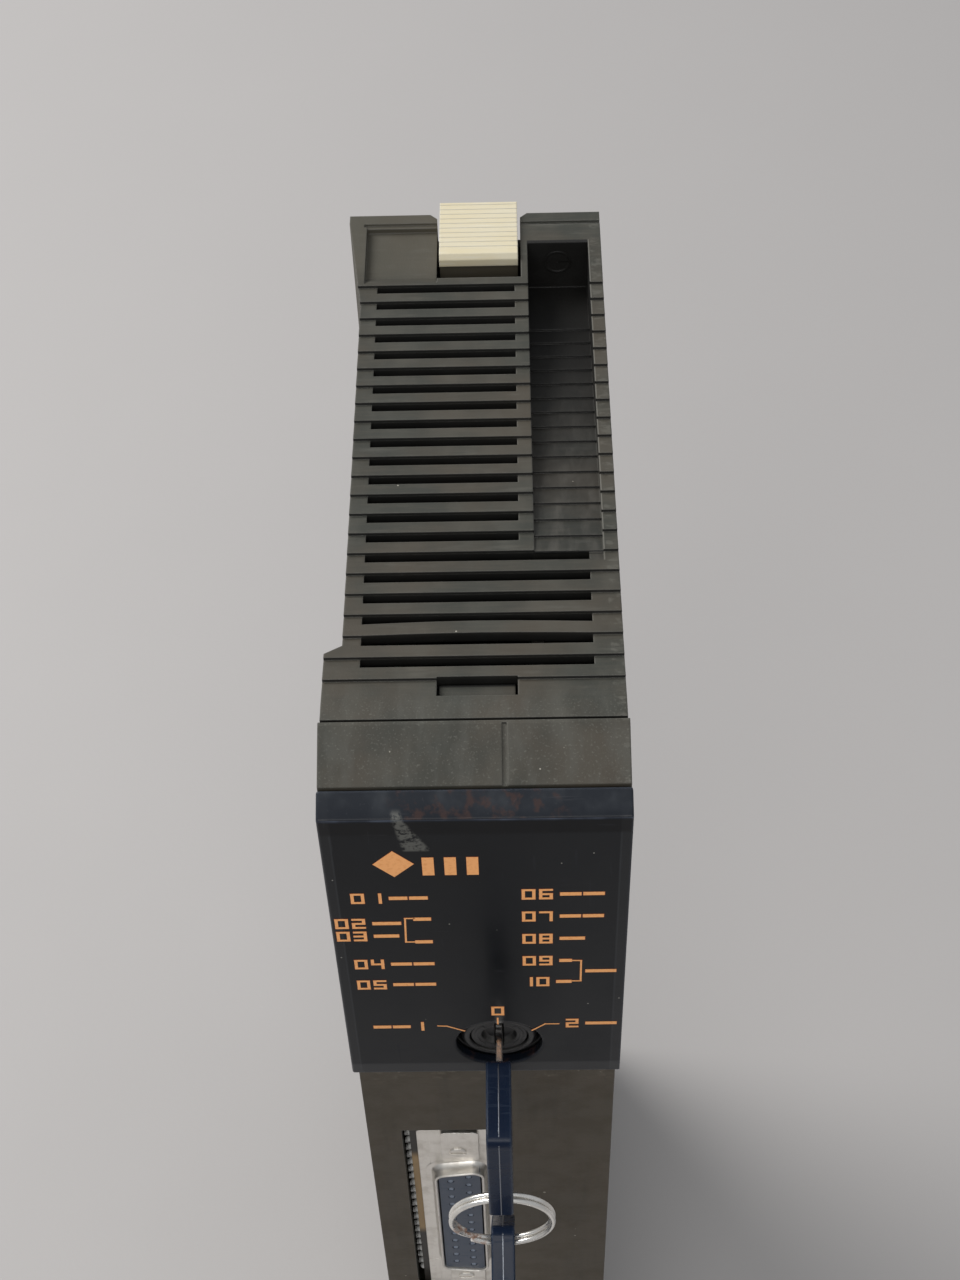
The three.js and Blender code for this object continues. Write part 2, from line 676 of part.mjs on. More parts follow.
function keyBlade() {
  const half = BLADE_HEIGHT / 2;
  const outline = [
    [BOW_NEAR - BOW_SLOT.depth + 0.2, -4],
    [BOW_NEAR + 0.6, -4],
    [BOW_NEAR + 0.6, -half],
    [FRONT + 4, -half],
    [FRONT + 5.5, -half + 1],
    [FRONT + 7, -half],
    [FRONT + 9, -half],
    [FRONT + 10.5, -half + 1.6],
    [FRONT + 12, -half + 0.4],
    [FRONT + 14, -half + 0.4],
    [BLADE_TIP - 1.6, -half + 1],
    [BLADE_TIP, 0],
    [BLADE_TIP - 1.6, half],
    [BOW_NEAR + 0.6, half],
    [BOW_NEAR + 0.6, 4],
    [BOW_NEAR - BOW_SLOT.depth + 0.2, 4],
  ];
  return alongX(outline, [-BLADE_THICK / 2, BLADE_THICK / 2]);
}

// Split ring hanging through the bow's hole: two turns of flattened wire.
function splitRing() {
  const across = 2 * RING_WIRE;
  const profile = [
    [RING_R - RING_WIRE, -across + 0.2],
    [RING_R, -across],
    [RING_R + RING_WIRE, -across + 0.2],
    [RING_R + RING_WIRE, -0.15],
    [RING_R + 0.25, 0],
    [RING_R + RING_WIRE, 0.15],
    [RING_R + RING_WIRE, across - 0.2],
    [RING_R, across],
    [RING_R - RING_WIRE, across - 0.2],
    [RING_R - RING_WIRE, -across + 0.2],
  ];
  return turned('y', profile, [0, 0, 0], 32);
}

const HANG = 1;
const RING_CENTRE_Z = KEY_HOLE[1] - RING_R - HANG;
const SPARE_PIVOT = [KEY_HOLE[0], RING_CENTRE_Z - RING_R - HANG];
const SPARE_TILT = THREE.MathUtils.degToRad(90 - 32.8);

function makeKeys() {
  const lock = new THREE.Group();
  lock.position.set(LOCK_X, 0, LOCK_Z);
  lock.add(toMesh('key_blade', keyBlade(), steel));
  lock.add(toMesh('key_bow', keyBow(), bluePlastic));
  const ring = toMesh('split_ring', splitRing(), steel);
  ring.position.set(0, KEY_HOLE[0], RING_CENTRE_Z);
  lock.add(ring);

  // The spare hangs from the ring by its own bow hole, blade leaning back towards the case.
  const spare = new THREE.Group();
  spare.position.set(0, ...SPARE_PIVOT);
  spare.rotation.x = -SPARE_TILT;
  const parts = [['spare_key_blade', keyBlade(), steel], ['spare_key_bow', keyBow(), bluePlastic]];
  for (const [name, solid, material] of parts) {
    const mirrored = solid.mirror([0, 0, 1]);
    const mesh = toMesh(name, mirrored.translate([0, -KEY_HOLE[0], KEY_HOLE[1]]), material);
    spare.add(mesh);
  }
  lock.add(spare);
  return lock;
}

// ---------------------------------------------------------------- release latch

function makeLatch() {
  const [py, pz] = LATCH_PIVOT;
  const x = [LATCH_X - LATCH_HALF, LATCH_X + LATCH_HALF];
  const top = HEIGHT + 0.9;
  const pad = [
    [FRONT + 94.4, top - 1.9],
    [FRONT + 94.4, top - 0.7],
    [FRONT + 95, top],
    [FRONT + 106.6, top],
    [FRONT + 106.6, top - 5.5],
    [FRONT + 108.8, top - 8.4],
    [FRONT + 108.8, top - 10],
    [FRONT + 105.9, top - 10],
    [FRONT + 105.5, top - 3.2],
    [py + 2.8, top - 3.2],
    [py + 2.4, pz - 2.4],
    [py - 2.4, pz - 2.4],
    [py - 2.4, pz + 1.8],
    [FRONT + 95.2, pz + 3],
    [FRONT + 95.2, top - 1.9],
  ];
  const body = alongX(pad, x);
  const bore = rod('x', 1.15, [x[0] - 1, x[1] + 1], [0, py, pz], 20);
  const ridges = rowsOf(10).map((i) => {
    const y = FRONT + 96.2 + i * 1.05;
    return block([x[0] - 1, x[1] + 1], [y, y + 0.45], [top - 0.08, top + 1]);
  });
  return cut(body, [bore, ...ridges]);
}

function makeLatchPin() {
  const reach = [LATCH_X - NOTCH_HALF - 1.6, LATCH_X + NOTCH_HALF + 0.7];
  return rod('x', 1, reach, [0, ...LATCH_PIVOT], 20);
}

class Helix extends THREE.Curve {
  constructor(radius, height, turns) {
    super();
    Object.assign(this, { radius, height, turns });
  }

  getPoint(t, target = new THREE.Vector3()) {
    const angle = t * this.turns * 2 * Math.PI;
    return target.set(this.radius * Math.cos(angle), this.radius * Math.sin(angle), this.height * t);
  }
}

function makeLatchSpring() {
  const turns = 4;
  const wire = new THREE.Shape();
  wire.absarc(0, 0, 0.3, 0, 2 * Math.PI, false);
  const low = HEIGHT - 14.8;
  const high = HEIGHT - 3.1;
  const geometry = new THREE.ExtrudeGeometry(wire, {
    steps: turns * 11,
    curveSegments: 3,
    extrudePath: new Helix(1.6, high - low, turns),
  });
  geometry.translate(LATCH_X, BACK - 3.9, low);
  return toSolid(geometry);
}

// ---------------------------------------------------------------- ports

// D-shaped outline in (x, z): the long side faces +X.
function dOutline(long, wide, x, z) {
  const slant = wide * Math.tan(THREE.MathUtils.degToRad(10));
  const half = long / 2;
  return [
    [x - wide / 2, z - half + slant],
    [x + wide / 2, z - half],
    [x + wide / 2, z + half],
    [x - wide / 2, z + half - slant],
  ];
}

function makePortShell({ z, flange, screws, shell }) {
  const plate = block(
    [PORT_X - FLANGE_WIDTH / 2, PORT_X + FLANGE_WIDTH / 2],
    [FLANGE_FACE, FLANGE_FACE + FLANGE_PLATE],
    [z - flange / 2, z + flange / 2],
  );
  const lugs = [-1, 1].map((side) => {
    const ends = [z + side * (flange / 2 - 6.2), z + side * (flange / 2 + 3.2)].sort((a, b) => a - b);
    return block([PORT_X - 2.6, PORT_X + 3.2], [FLANGE_FACE - 0.7, FLANGE_FACE + 0.2], ends);
  });
  const collar = alongY(dOutline(shell, SHELL_WIDTH, PORT_X, z), [FLANGE_FACE - COLLAR, FLANGE_FACE + 6]);
  const inside = dOutline(shell - 1, SHELL_WIDTH - 1, PORT_X, z);
  const hollow = alongY(inside, [FLANGE_FACE - 7, FLANGE_FACE + 7]);
  const holes = [-1, 1].map((side) => {
    const centre = [PORT_X, 0, z + (side * screws) / 2];
    return rod('y', 1.6, [FLANGE_FACE - 1, FLANGE_FACE + 2], centre, 16);
  });
  return cut(joined([plate, collar, ...lugs]), [hollow, ...holes]);
}

function contactRows({ z, way }) {
  const rows = [];
  const rowX = [[PORT_X + ROW_GAP / 2, way], [PORT_X - ROW_GAP / 2, way - 1]];
  for (const [x, count] of rowX) {
    for (let i = 0; i < count; i += 1) {
      rows.push([x, z + (i - (count - 1) / 2) * CONTACT_PITCH]);
    }
  }
  return rows;
}

function makePortInsert(port) {
  const outline = dOutline(port.shell - 1.4, SHELL_WIDTH - 1.4, PORT_X, port.z);
  const body = alongY(outline, [FLANGE_FACE - COLLAR + 0.5, FLANGE_FACE + 7.5]);
  const holes = contactRows(port).map(([x, z]) => {
    return rod('y', 0.62, [FLANGE_FACE - 3, FLANGE_FACE + 1.4], [x, 0, z], 6);
  });
  return cut(body, holes);
}

// The contacts' tails: a comb from the insert to the main board, with soldered tips.
function makePortTails(port) {
  const rail = block(
    [PORT_X - 2.2, PORT_X + 2.2],
    [FLANGE_FACE + 7.8, FLANGE_FACE + 9],
    [port.z - port.shell / 2 + 1.5, port.z + port.shell / 2 - 1.5],
  );
  const tail = [FLANGE_FACE + 8, FLANGE_FACE + 8.6];
  const tails = contactRows(port)
    .filter(([x]) => x < PORT_X)
    .map(([, z]) => block([MAIN_X - 0.95, PORT_X], tail, [z - 0.3, z + 0.3]));
  return joined([rail, ...tails]);
}

function makeJackScrew(port, side) {
  const z = port.z + (side * port.screws) / 2;
  const face = FLANGE_FACE;
  const profile = [
    [0, face - 1],
    [1.2, face - 1],
    [1.35, face - 0.85],
    [1.35, face + 5.5],
    [0, face + 5.5],
  ];
  const slot = block([PORT_X - 3, PORT_X + 3], [face - 2, face - 0.6], [z - 0.25, z + 0.25]);
  return turned('y', profile, [PORT_X, 0, z], 14).subtract(slot);
}

// Pin header along the main board's front edge, its soldered tips standing out on the left.
function makeEdgeHeader() {
  const pins = 22;
  const top = UPPER_PORT.z + UPPER_PORT.flange / 2 + 1.8;
  const y = BOARD_FRONT + 1.6;
  const foot = top - (pins - 1) * HEADER_PITCH;
  const side = MAIN_X + BOARD;
  const strip = block([side + 0.1, side + 1.7], [y - 0.4, y + 2], [foot - 1.2, top + 1.2]);
  const tips = rowsOf(pins).map((i) => {
    const z = top - i * HEADER_PITCH;
    return block([MAIN_X - 0.95, MAIN_X + BOARD + 0.6], [y - 0.32, y + 0.32], [z - 0.32, z + 0.32]);
  });
  return joined([strip, ...tips]);
}

// Bent plate behind both flanges, folded back along its top and bottom.
function makePortBracket() {
  const y = [FLANGE_FACE + 1.1, FLANGE_FACE + 2.1];
  const x = [PORT_X - 5.6, PORT_X + 6];
  const top = UPPER_PORT.z + UPPER_PORT.flange / 2 + 4.4;
  const foot = LOWER_PORT.z - LOWER_PORT.flange / 2 - 2.6;
  const face = alongX(
    [[y[0], foot], [y[0], top - 1], [y[0] + 1, top], [y[0] + 13, top], [y[0] + 13, top - 1],
      [y[0] + 1.6, top - 1], [y[1], top - 1.6], [y[1], foot + 1], [y[0] + 13, foot + 1], [y[0] + 13, foot]],
    x,
  );
  const cutouts = [UPPER_PORT, LOWER_PORT].flatMap((port) => [
    alongY(dOutline(port.shell + 0.6, SHELL_WIDTH + 0.6, PORT_X, port.z), [y[0] - 1, y[1] + 1]),
    ...[-1, 1].map((side) => {
      const z = port.z + (side * port.screws) / 2;
      return rod('y', 1.7, [y[0] - 1, y[1] + 1], [PORT_X, 0, z], 12);
    }),
  ]);
  return cut(face, cutouts);
}

// ---------------------------------------------------------------- boards and what they carry

function makeMainBoard() {
  const x = [MAIN_X, MAIN_X + BOARD];
  const board = block(x, [BOARD_FRONT, BOARD_BACK], [BOARD_FOOT, BOARD_TOP]);
  const across = [x[0] - 1, x[1] + 1];
  const hoodStep = block(across, [BOARD_FRONT - 1, FRONT + 15.3], [WINDOW_FOOT - 3, BOARD_TOP + 1]);
  const screwHoles = BOARD_POSTS.map(([y, z]) => rod('x', 1.6, across, [0, y, z], 12));
  const tails = [UPPER_PORT, LOWER_PORT].map((port) => block(
    across,
    [FLANGE_FACE + 7.7, FLANGE_FACE + 8.9],
    [port.z - port.shell / 2 - 1, port.z + port.shell / 2 + 1],
  ));
  const headerTop = UPPER_PORT.z + UPPER_PORT.flange / 2 + 2.6;
  const pinSlot = [BOARD_FRONT + 1.15, BOARD_FRONT + 2.05];
  const header = block(across, pinSlot, [headerTop - 54.6, headerTop]);
  return cut(board, [hoodStep, header, ...screwHoles, ...tails]);
}

function makeBoardScrew(i) {
  const [y, z] = BOARD_POSTS[i];
  const face = MAIN_X + BOARD + 0.1;
  const crown = face + 1.7;
  const profile = [[0, face - 4], [0.95, face - 4], [0.95, face], [2.6, face], [2.2, crown], [0, crown]];
  return turned('x', profile, [0, y, z], 16);
}

const PILLARS = [
  [FRONT + 34, 30],
  [BACK - 22, 30],
  [FRONT + 34, 215],
  [BACK - 22, 215],
];

function makePillar(i) {
  const [y, z] = PILLARS[i];
  return rod('x', 2.8, [MAIN_X + BOARD + 0.2, SECOND_X - 0.2], [0, y, z], 6);
}

function makeSecondBoard() {
  const board = block([SECOND_X, SECOND_X + BOARD], [FRONT + 28, BACK - 12], [18, 226]);
  return board;
}

function makeRearPlug() {
  const x = [MAIN_X + BOARD + 0.1, MAIN_X + BOARD + 11];
  const z = [110.5, 205.5];
  const body = block(x, [BACK - 9, BACK + 5.5], z);
  const mouth = block([x[0] + 1.6, x[1] - 1.6], [BACK - 2, BACK + 7], [z[0] + 3, z[1] - 3]);
  const flange = block(
    [x[0] - 1.2, x[1] + 1.4],
    [BACK - WALL - 1.5, BACK - WALL - GAP],
    [z[0] - 2.8, z[1] + 2.8],
  );
  return body.add(flange).subtract(mouth);
}

// Plug contacts joined by the moulded strip that carries them.
function makeRearContacts() {
  const middle = MAIN_X + BOARD + 5.55;
  const strip = block([middle - 3.6, middle + 3.6], [BACK - 1.8, BACK - 0.9], [115, 201]);
  const pins = [];
  for (let i = 0; i < 16; i += 1) {
    for (const dx of [-2.54, 2.54]) {
      const z = 158 + (i - 7.5) * 5.08;
      pins.push(block([middle + dx - 0.3, middle + dx + 0.3], [BACK - 1, BACK + 3.8], [z - 0.3, z + 0.3]));
    }
  }
  return joined([strip, ...pins]);
}

// Parts that stand on the main board's right face: [y, z] centre, [depth, height] and how tall.
const MAIN_PARTS = {
  processor_chip: { at: [FRONT + 52, 172], size: [18, 52], tall: 4.2, material: blackPlastic },
  program_memory: { at: [FRONT + 76, 176], size: [15, 38], tall: 4, material: blackPlastic },
  gate_array: { at: [FRONT + 50, 118], size: [24, 24], tall: 3, material: blackPlastic },
  power_converter: { at: [FRONT + 72, 60], size: [26, 34], tall: 13, material: blackPlastic },
};

function standing(x, { at: [y, z], size: [depth, height], tall }) {
  return block([x + 0.1, x + 0.1 + tall], [y - depth / 2, y + depth / 2], [z - height / 2, z + height / 2]);
}

function makeCapacitor(y, z) {
  const from = MAIN_X + BOARD + 0.1;
  const to = from + 12;
  const crimp = [[4, from + 1.2], [3.7, from + 1.7], [4, from + 2.2]];
  const profile = [[0, from], [4, from], ...crimp, [4, to], [0, to]];
  return turned('x', profile, [0, y, z], 20);
}

function makeCouplerRow() {
  const x = SECOND_X - 0.1;
  const rail = block([x - 1.2, x], [FRONT + 44, FRONT + 52], [52, 132]);
  const blocks = rowsOf(8).map((i) => {
    const foot = 54 + i * 10;
    return block([x - 4, x - 1], [FRONT + 44, FRONT + 52], [foot, foot + 6]);
  });
  return joined([rail, ...blocks]);
}

const BATTERY = { y: FRONT + 80, z: [124, 149], r: 7.2, x: -1.2 };

function makeBattery() {
  const [z0, z1] = BATTERY.z;
  const profile = [
    [0, z0], [BATTERY.r - 0.6, z0], [BATTERY.r, z0 + 0.6], [BATTERY.r, z1 - 0.6],
    [BATTERY.r - 0.6, z1], [2.4, z1], [2.4, z1 + 0.8], [0, z1 + 0.8],
  ];
  return turned('z', profile, [BATTERY.x, BATTERY.y, 0], 28);
}

function makeBatteryHolder() {
  const [z0, z1] = BATTERY.z;
  const from = MAIN_X + BOARD + 0.1;
  const cradle = block([from, from + 7], [BATTERY.y - 8.6, BATTERY.y + 8.6], [z0 - 3, z1 + 4]);
  const room = rod('z', BATTERY.r + 0.3, [z0 - 0.9, z1 + 1.6], [BATTERY.x, BATTERY.y, 0], 28);
  const mouth = block([BATTERY.x - 4, from + 8], [BATTERY.y - 4, BATTERY.y + 4], [z0 - 0.9, z1 + 1.6]);
  return cut(cradle, [room, mouth]);
}

// ---------------------------------------------------------------- assembly

const module = new THREE.Group();
const place = (name, solid, material) => module.add(toMesh(name, solid, material));

place('case_shell', makeCaseShell(), casePlastic);
place('side_cover', makeSideCover(), casePlastic);
SCREW_POSTS.forEach((_, i) => place(`case_screw_${i + 1}`, makeCaseScrew(i), steel));
place('front_hood', makeHood(), casePlastic);
place('indicator_window', makeWindow(), windowPlastic);
place('legend_plate', makeLegendPlate(), blackPlastic);
place('lamp_bar_left', makeLampBar(LAMP_COLUMNS.left), lampRed);
place('lamp_bar_right', makeLampBar(LAMP_COLUMNS.right), lampRed);
place('indicator_board', makeIndicatorBoard(), boardGreen);
place('indicator_header', makeIndicatorHeader(), blackPlastic);
place('lock_barrel', makeLockBarrel(), blackPlastic);
place('lock_nut', makeLockNut(), nickel);
place('lock_rotor', makeLockRotor(), blackPlastic);
place('switch_block', makeSwitchBlock(), blackPlastic);
module.add(makeKeys());
place('release_latch', makeLatch(), ivoryPlastic);
place('latch_pin', makeLatchPin(), steel);
place('latch_spring', makeLatchSpring(), steel);
[['upper', UPPER_PORT], ['lower', LOWER_PORT]].forEach(([level, port]) => {
  place(`${level}_port_shell`, makePortShell(port), nickel);
  place(`${level}_port_insert`, makePortInsert(port), portBlue);
  place(`${level}_port_tails`, makePortTails(port), nickel);
  place(`${level}_port_screw_top`, makeJackScrew(port, 1), nickel);
  place(`${level}_port_screw_foot`, makeJackScrew(port, -1), nickel);
});
place('edge_header', makeEdgeHeader(), nickel);
place('port_bracket', makePortBracket(), nickel);
place('main_board', makeMainBoard(), boardGreen);
BOARD_POSTS.forEach((_, i) => place(`board_screw_${i + 1}`, makeBoardScrew(i), steel));
PILLARS.forEach((_, i) => place(`board_pillar_${i + 1}`, makePillar(i), brass));
place('second_board', makeSecondBoard(), boardGreen);
place('rear_plug', makeRearPlug(), blackPlastic);
place('rear_contacts', makeRearContacts(), gold);
for (const [name, part] of Object.entries(MAIN_PARTS)) {
  place(name, standing(MAIN_X + BOARD, part), part.material);
}
place('capacitor_1', makeCapacitor(FRONT + 50, 84), blackPlastic);
place('capacitor_2', makeCapacitor(FRONT + 50, 72), blackPlastic);
place('coupler_row', makeCouplerRow(), blackPlastic);
place('battery', makeBattery(), batteryWrap);
place('battery_holder', makeBatteryHolder(), blackPlastic);

export default module;
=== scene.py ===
# %% [markdown]
# # A rack module for a programmable controller, with its key switch
#
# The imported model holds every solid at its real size. This file loads it as a fixed
# frame, gives each solid a finish made of shader nodes, adds the fine pieces that are too
# small or too curved for the solids (the ring's wire, the drawn port shells, the printed
# marks), and then sets the floor, the lights and the camera.

import json
import math

import bmesh
import bpy
from mathutils import Matrix, Vector


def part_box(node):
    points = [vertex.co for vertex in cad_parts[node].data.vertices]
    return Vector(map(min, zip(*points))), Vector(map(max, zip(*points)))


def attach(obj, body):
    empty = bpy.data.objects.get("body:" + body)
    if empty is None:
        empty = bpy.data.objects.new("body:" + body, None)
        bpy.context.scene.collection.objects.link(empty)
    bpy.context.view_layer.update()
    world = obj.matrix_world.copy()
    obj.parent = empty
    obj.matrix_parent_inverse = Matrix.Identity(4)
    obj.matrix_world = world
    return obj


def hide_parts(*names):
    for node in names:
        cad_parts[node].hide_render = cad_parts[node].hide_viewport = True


MM = 0.001
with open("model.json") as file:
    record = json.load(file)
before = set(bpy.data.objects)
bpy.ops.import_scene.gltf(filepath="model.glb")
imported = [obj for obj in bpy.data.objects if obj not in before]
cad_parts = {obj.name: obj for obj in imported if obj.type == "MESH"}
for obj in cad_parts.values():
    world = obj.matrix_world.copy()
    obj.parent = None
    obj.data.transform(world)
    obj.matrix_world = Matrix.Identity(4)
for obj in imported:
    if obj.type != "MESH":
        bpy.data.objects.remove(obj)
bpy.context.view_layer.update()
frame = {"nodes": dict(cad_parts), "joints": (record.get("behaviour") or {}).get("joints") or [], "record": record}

# %% [markdown]
# ## Measures that the pieces share
#
# Every place below comes from the solids' own boxes, so a piece follows its solid if the
# part is ever packed again. The places that matter most are the window's face, which is the
# foremost part of the cover, the case's top and back, and the lock's centre.

# %% shared measures
def in_mm(node):
    """A solid's lowest and highest corner, in millimetres."""
    low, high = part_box(node)
    return low / MM, high / MM


window_low, window_high = in_mm("indicator_window")
shell_high = in_mm("case_shell")[1]
barrel_low, barrel_high = in_mm("lock_barrel")
latch_low, latch_high = in_mm("release_latch")
WINDOW_FACE = window_low.y
WINDOW_DROP = 5
WINDOW_TOP = shell_high.z - WINDOW_DROP
WINDOW_HALF = window_high.x
CASE_DEPTH = 105
BACK = WINDOW_FACE + CASE_DEPTH
SHELL_TOP = shell_high.z
LATCH_X = (latch_low.x + latch_high.x) / 2
LOCK_X = (barrel_low.x + barrel_high.x) / 2
LOCK_Z = (barrel_low.z + barrel_high.z) / 2
print("window face at y", round(WINDOW_FACE, 2), "lock centre", round(LOCK_X, 2), round(LOCK_Z, 2))

# %% [markdown]
# ## Shader arithmetic
#
# A finish is mostly sums and products of masks: dust where a face looks up and a noise is
# high, wear where an edge is near. Adding a Math node by hand for each step hides the
# formula. The class below wraps a node's output, so that `1 - mask` or `a * b + c` adds the
# Math nodes by itself. Numbers alone are worked out in Python. Colours don't go through
# Math nodes, which would turn them grey, but through the Mix node.

# %% one socket as a number
class Wire:
    """A node's output. Arithmetic on it adds Math nodes to the same finish."""

    def __init__(self, paint, socket):
        self.paint = paint
        self.socket = socket

    def math(self, operation, first, second):
        return self.paint.node("Math", {"operation": operation}, {0: first, 1: second})

    def __add__(self, other):
        return self.math("ADD", self, other)

    def __radd__(self, other):
        return self.math("ADD", other, self)

    def __sub__(self, other):
        return self.math("SUBTRACT", self, other)

    def __rsub__(self, other):
        return self.math("SUBTRACT", other, self)

    def __mul__(self, other):
        return self.math("MULTIPLY", self, other)

    def __rmul__(self, other):
        return self.math("MULTIPLY", other, self)


# %% one finish in the making
class Paint:
    """A surface and the nodes that feed it. Constants are set on the shader's own sockets."""

    def __init__(self, name, **constants):
        self.material = bpy.data.materials.new(name)
        self.material.use_nodes = True
        self.tree = self.material.node_tree
        self.tree.nodes.clear()
        self.surface = self.tree.nodes.new("ShaderNodeBsdfPrincipled")
        output = self.tree.nodes.new("ShaderNodeOutputMaterial")
        self.tree.links.new(self.surface.outputs[0], output.inputs[0])
        for socket, value in constants.items():
            self.surface.inputs[socket.replace("_", " ")].default_value = value
        self.place = self.node("TexCoord", out="Object")

    def node(self, kind, settings=None, sockets=None, out=0):
        """Adds a node: its settings first, then the value or link of each named socket."""
        made = self.tree.nodes.new("ShaderNode" + kind)
        for key, value in (settings or {}).items():
            setattr(made, key, value)
        for key, value in (sockets or {}).items():
            if isinstance(value, Wire):
                self.tree.links.new(value.socket, made.inputs[key])
            else:
                made.inputs[key].default_value = value
        return Wire(self, made.outputs[out])

    def feed(self, socket, wire):
        self.tree.links.new(wire.socket, self.surface.inputs[socket])

    def axis(self, letter):
        """One coordinate of the place on the object, in millimetres."""
        parts = self.node("SeparateXYZ", None, {0: self.place}, out=letter)
        return parts * (1 / MM)

    def facing(self, letter):
        """How far a face looks along an axis, from -1 to 1."""
        normal = self.node("NewGeometry", out="True Normal")
        return self.node("SeparateXYZ", None, {0: normal}, out=letter)

    def grain(self, size, stretch=(1, 1, 1), shift=0.0, detail=3.0, rough=0.55):
        """Cloudy noise whose features are about size millimetres, from 0 to 1."""
        spread = {"Location": (shift, shift * 0.7, -shift), "Scale": stretch}
        place = self.node("Mapping", None, {"Vector": self.place, **spread})
        sockets = {"Vector": place, "Scale": 1 / (size * MM), "Detail": detail, "Roughness": rough}
        return self.node("TexNoise", None, sockets)

    def ramp(self, wire, low, high, start=0.0, end=1.0):
        """A smooth step of a value between two limits."""
        sockets = {"Value": wire, "From Min": low, "From Max": high, "To Min": start, "To Max": end}
        return self.node("MapRange", {"interpolation_type": "SMOOTHSTEP"}, sockets)

    def blend(self, mask, first, second):
        """From the first colour to the second as the mask goes from 0 to 1."""
        paints = [c if isinstance(c, Wire) else (*c, 1.0) for c in (first, second)]
        sockets = {0: mask, 6: paints[0], 7: paints[1]}
        return self.node("Mix", {"data_type": "RGBA"}, sockets, out=2)

    def specks(self, spacing, radius, share, shift=0.0):
        """Scattered round grains: one in each cell of a grid, kept only in a share of the cells."""
        place = self.node("Mapping", None, {"Vector": self.place, "Location": (shift, shift, shift)})
        sockets = {"Vector": place, "Scale": 1 / (spacing * MM)}
        far = self.node("TexVoronoi", None, sockets)
        lot = self.node("TexVoronoi", None, sockets, out="Color")
        chosen = self.node("SeparateColor", None, {0: lot})
        size = radius / spacing
        return self.ramp(far, size, size * 0.5) * self.ramp(chosen, share, share * 0.9)

    def edges(self, reach):
        """Bright along sharp edges: where the normal, rounded over a reach, leaves the face's own."""
        rounded = self.node("Bevel", {"samples": 4}, {"Radius": reach * MM})
        flat = self.node("NewGeometry", out="True Normal")
        along = self.node("VectorMath", {"operation": "DOT_PRODUCT"}, {0: rounded, 1: flat}, out="Value")
        return self.ramp(1 - along, 0.015, 0.22), rounded

    def bumps(self, height, depth, normal=None):
        """Raises the surface by a height map, depth in millimetres."""
        sockets = {"Height": height, "Distance": depth * MM, "Strength": 1.0}
        if normal is not None:
            sockets["Normal"] = normal
        self.feed("Normal", self.node("Bump", None, sockets))


print("shader helpers ready")

# %% [markdown]
# ## The case's moulded plastic
#
# The case is moulded in a warm dark grey, filled plastic. Years in a cabinet leave four
# things on it: a film of dust on what looks up, brownish patches, pale grains stuck in the
# texture, and edges rubbed lighter. One finish carries all four, mixed by masks, so that
# the case, its side cover and the hood match where they meet. The same finish also holds
# painted shade, near black, in the slots, on the step faces, in the latch's recess and down
# the channel, and a painted highlight along the channel's right edge.

# %% lines and windows of a coordinate
def line_at(paint, wire, value, half):
    """A thin line where a coordinate is near a value."""
    away = paint.node("Math", {"operation": "ABSOLUTE"}, {0: wire - value})
    return paint.ramp(away, half, half * 0.4)


def between(paint, wire, low, high, soft=0.3):
    """One where a coordinate lies between two values, fading over a short way at each."""
    return paint.ramp(wire, low - soft, low) * paint.ramp(wire, high + soft, high)


# %% case plastic
CHANNEL_LEFT, CHANNEL_RIGHT = 7.7, 16.5
CHANNEL_MIDDLE = (CHANNEL_LEFT + CHANNEL_RIGHT) / 2
CHANNEL_FRONT, CHANNEL_REAR = WINDOW_FACE + 36.5, WINDOW_FACE + 98.2


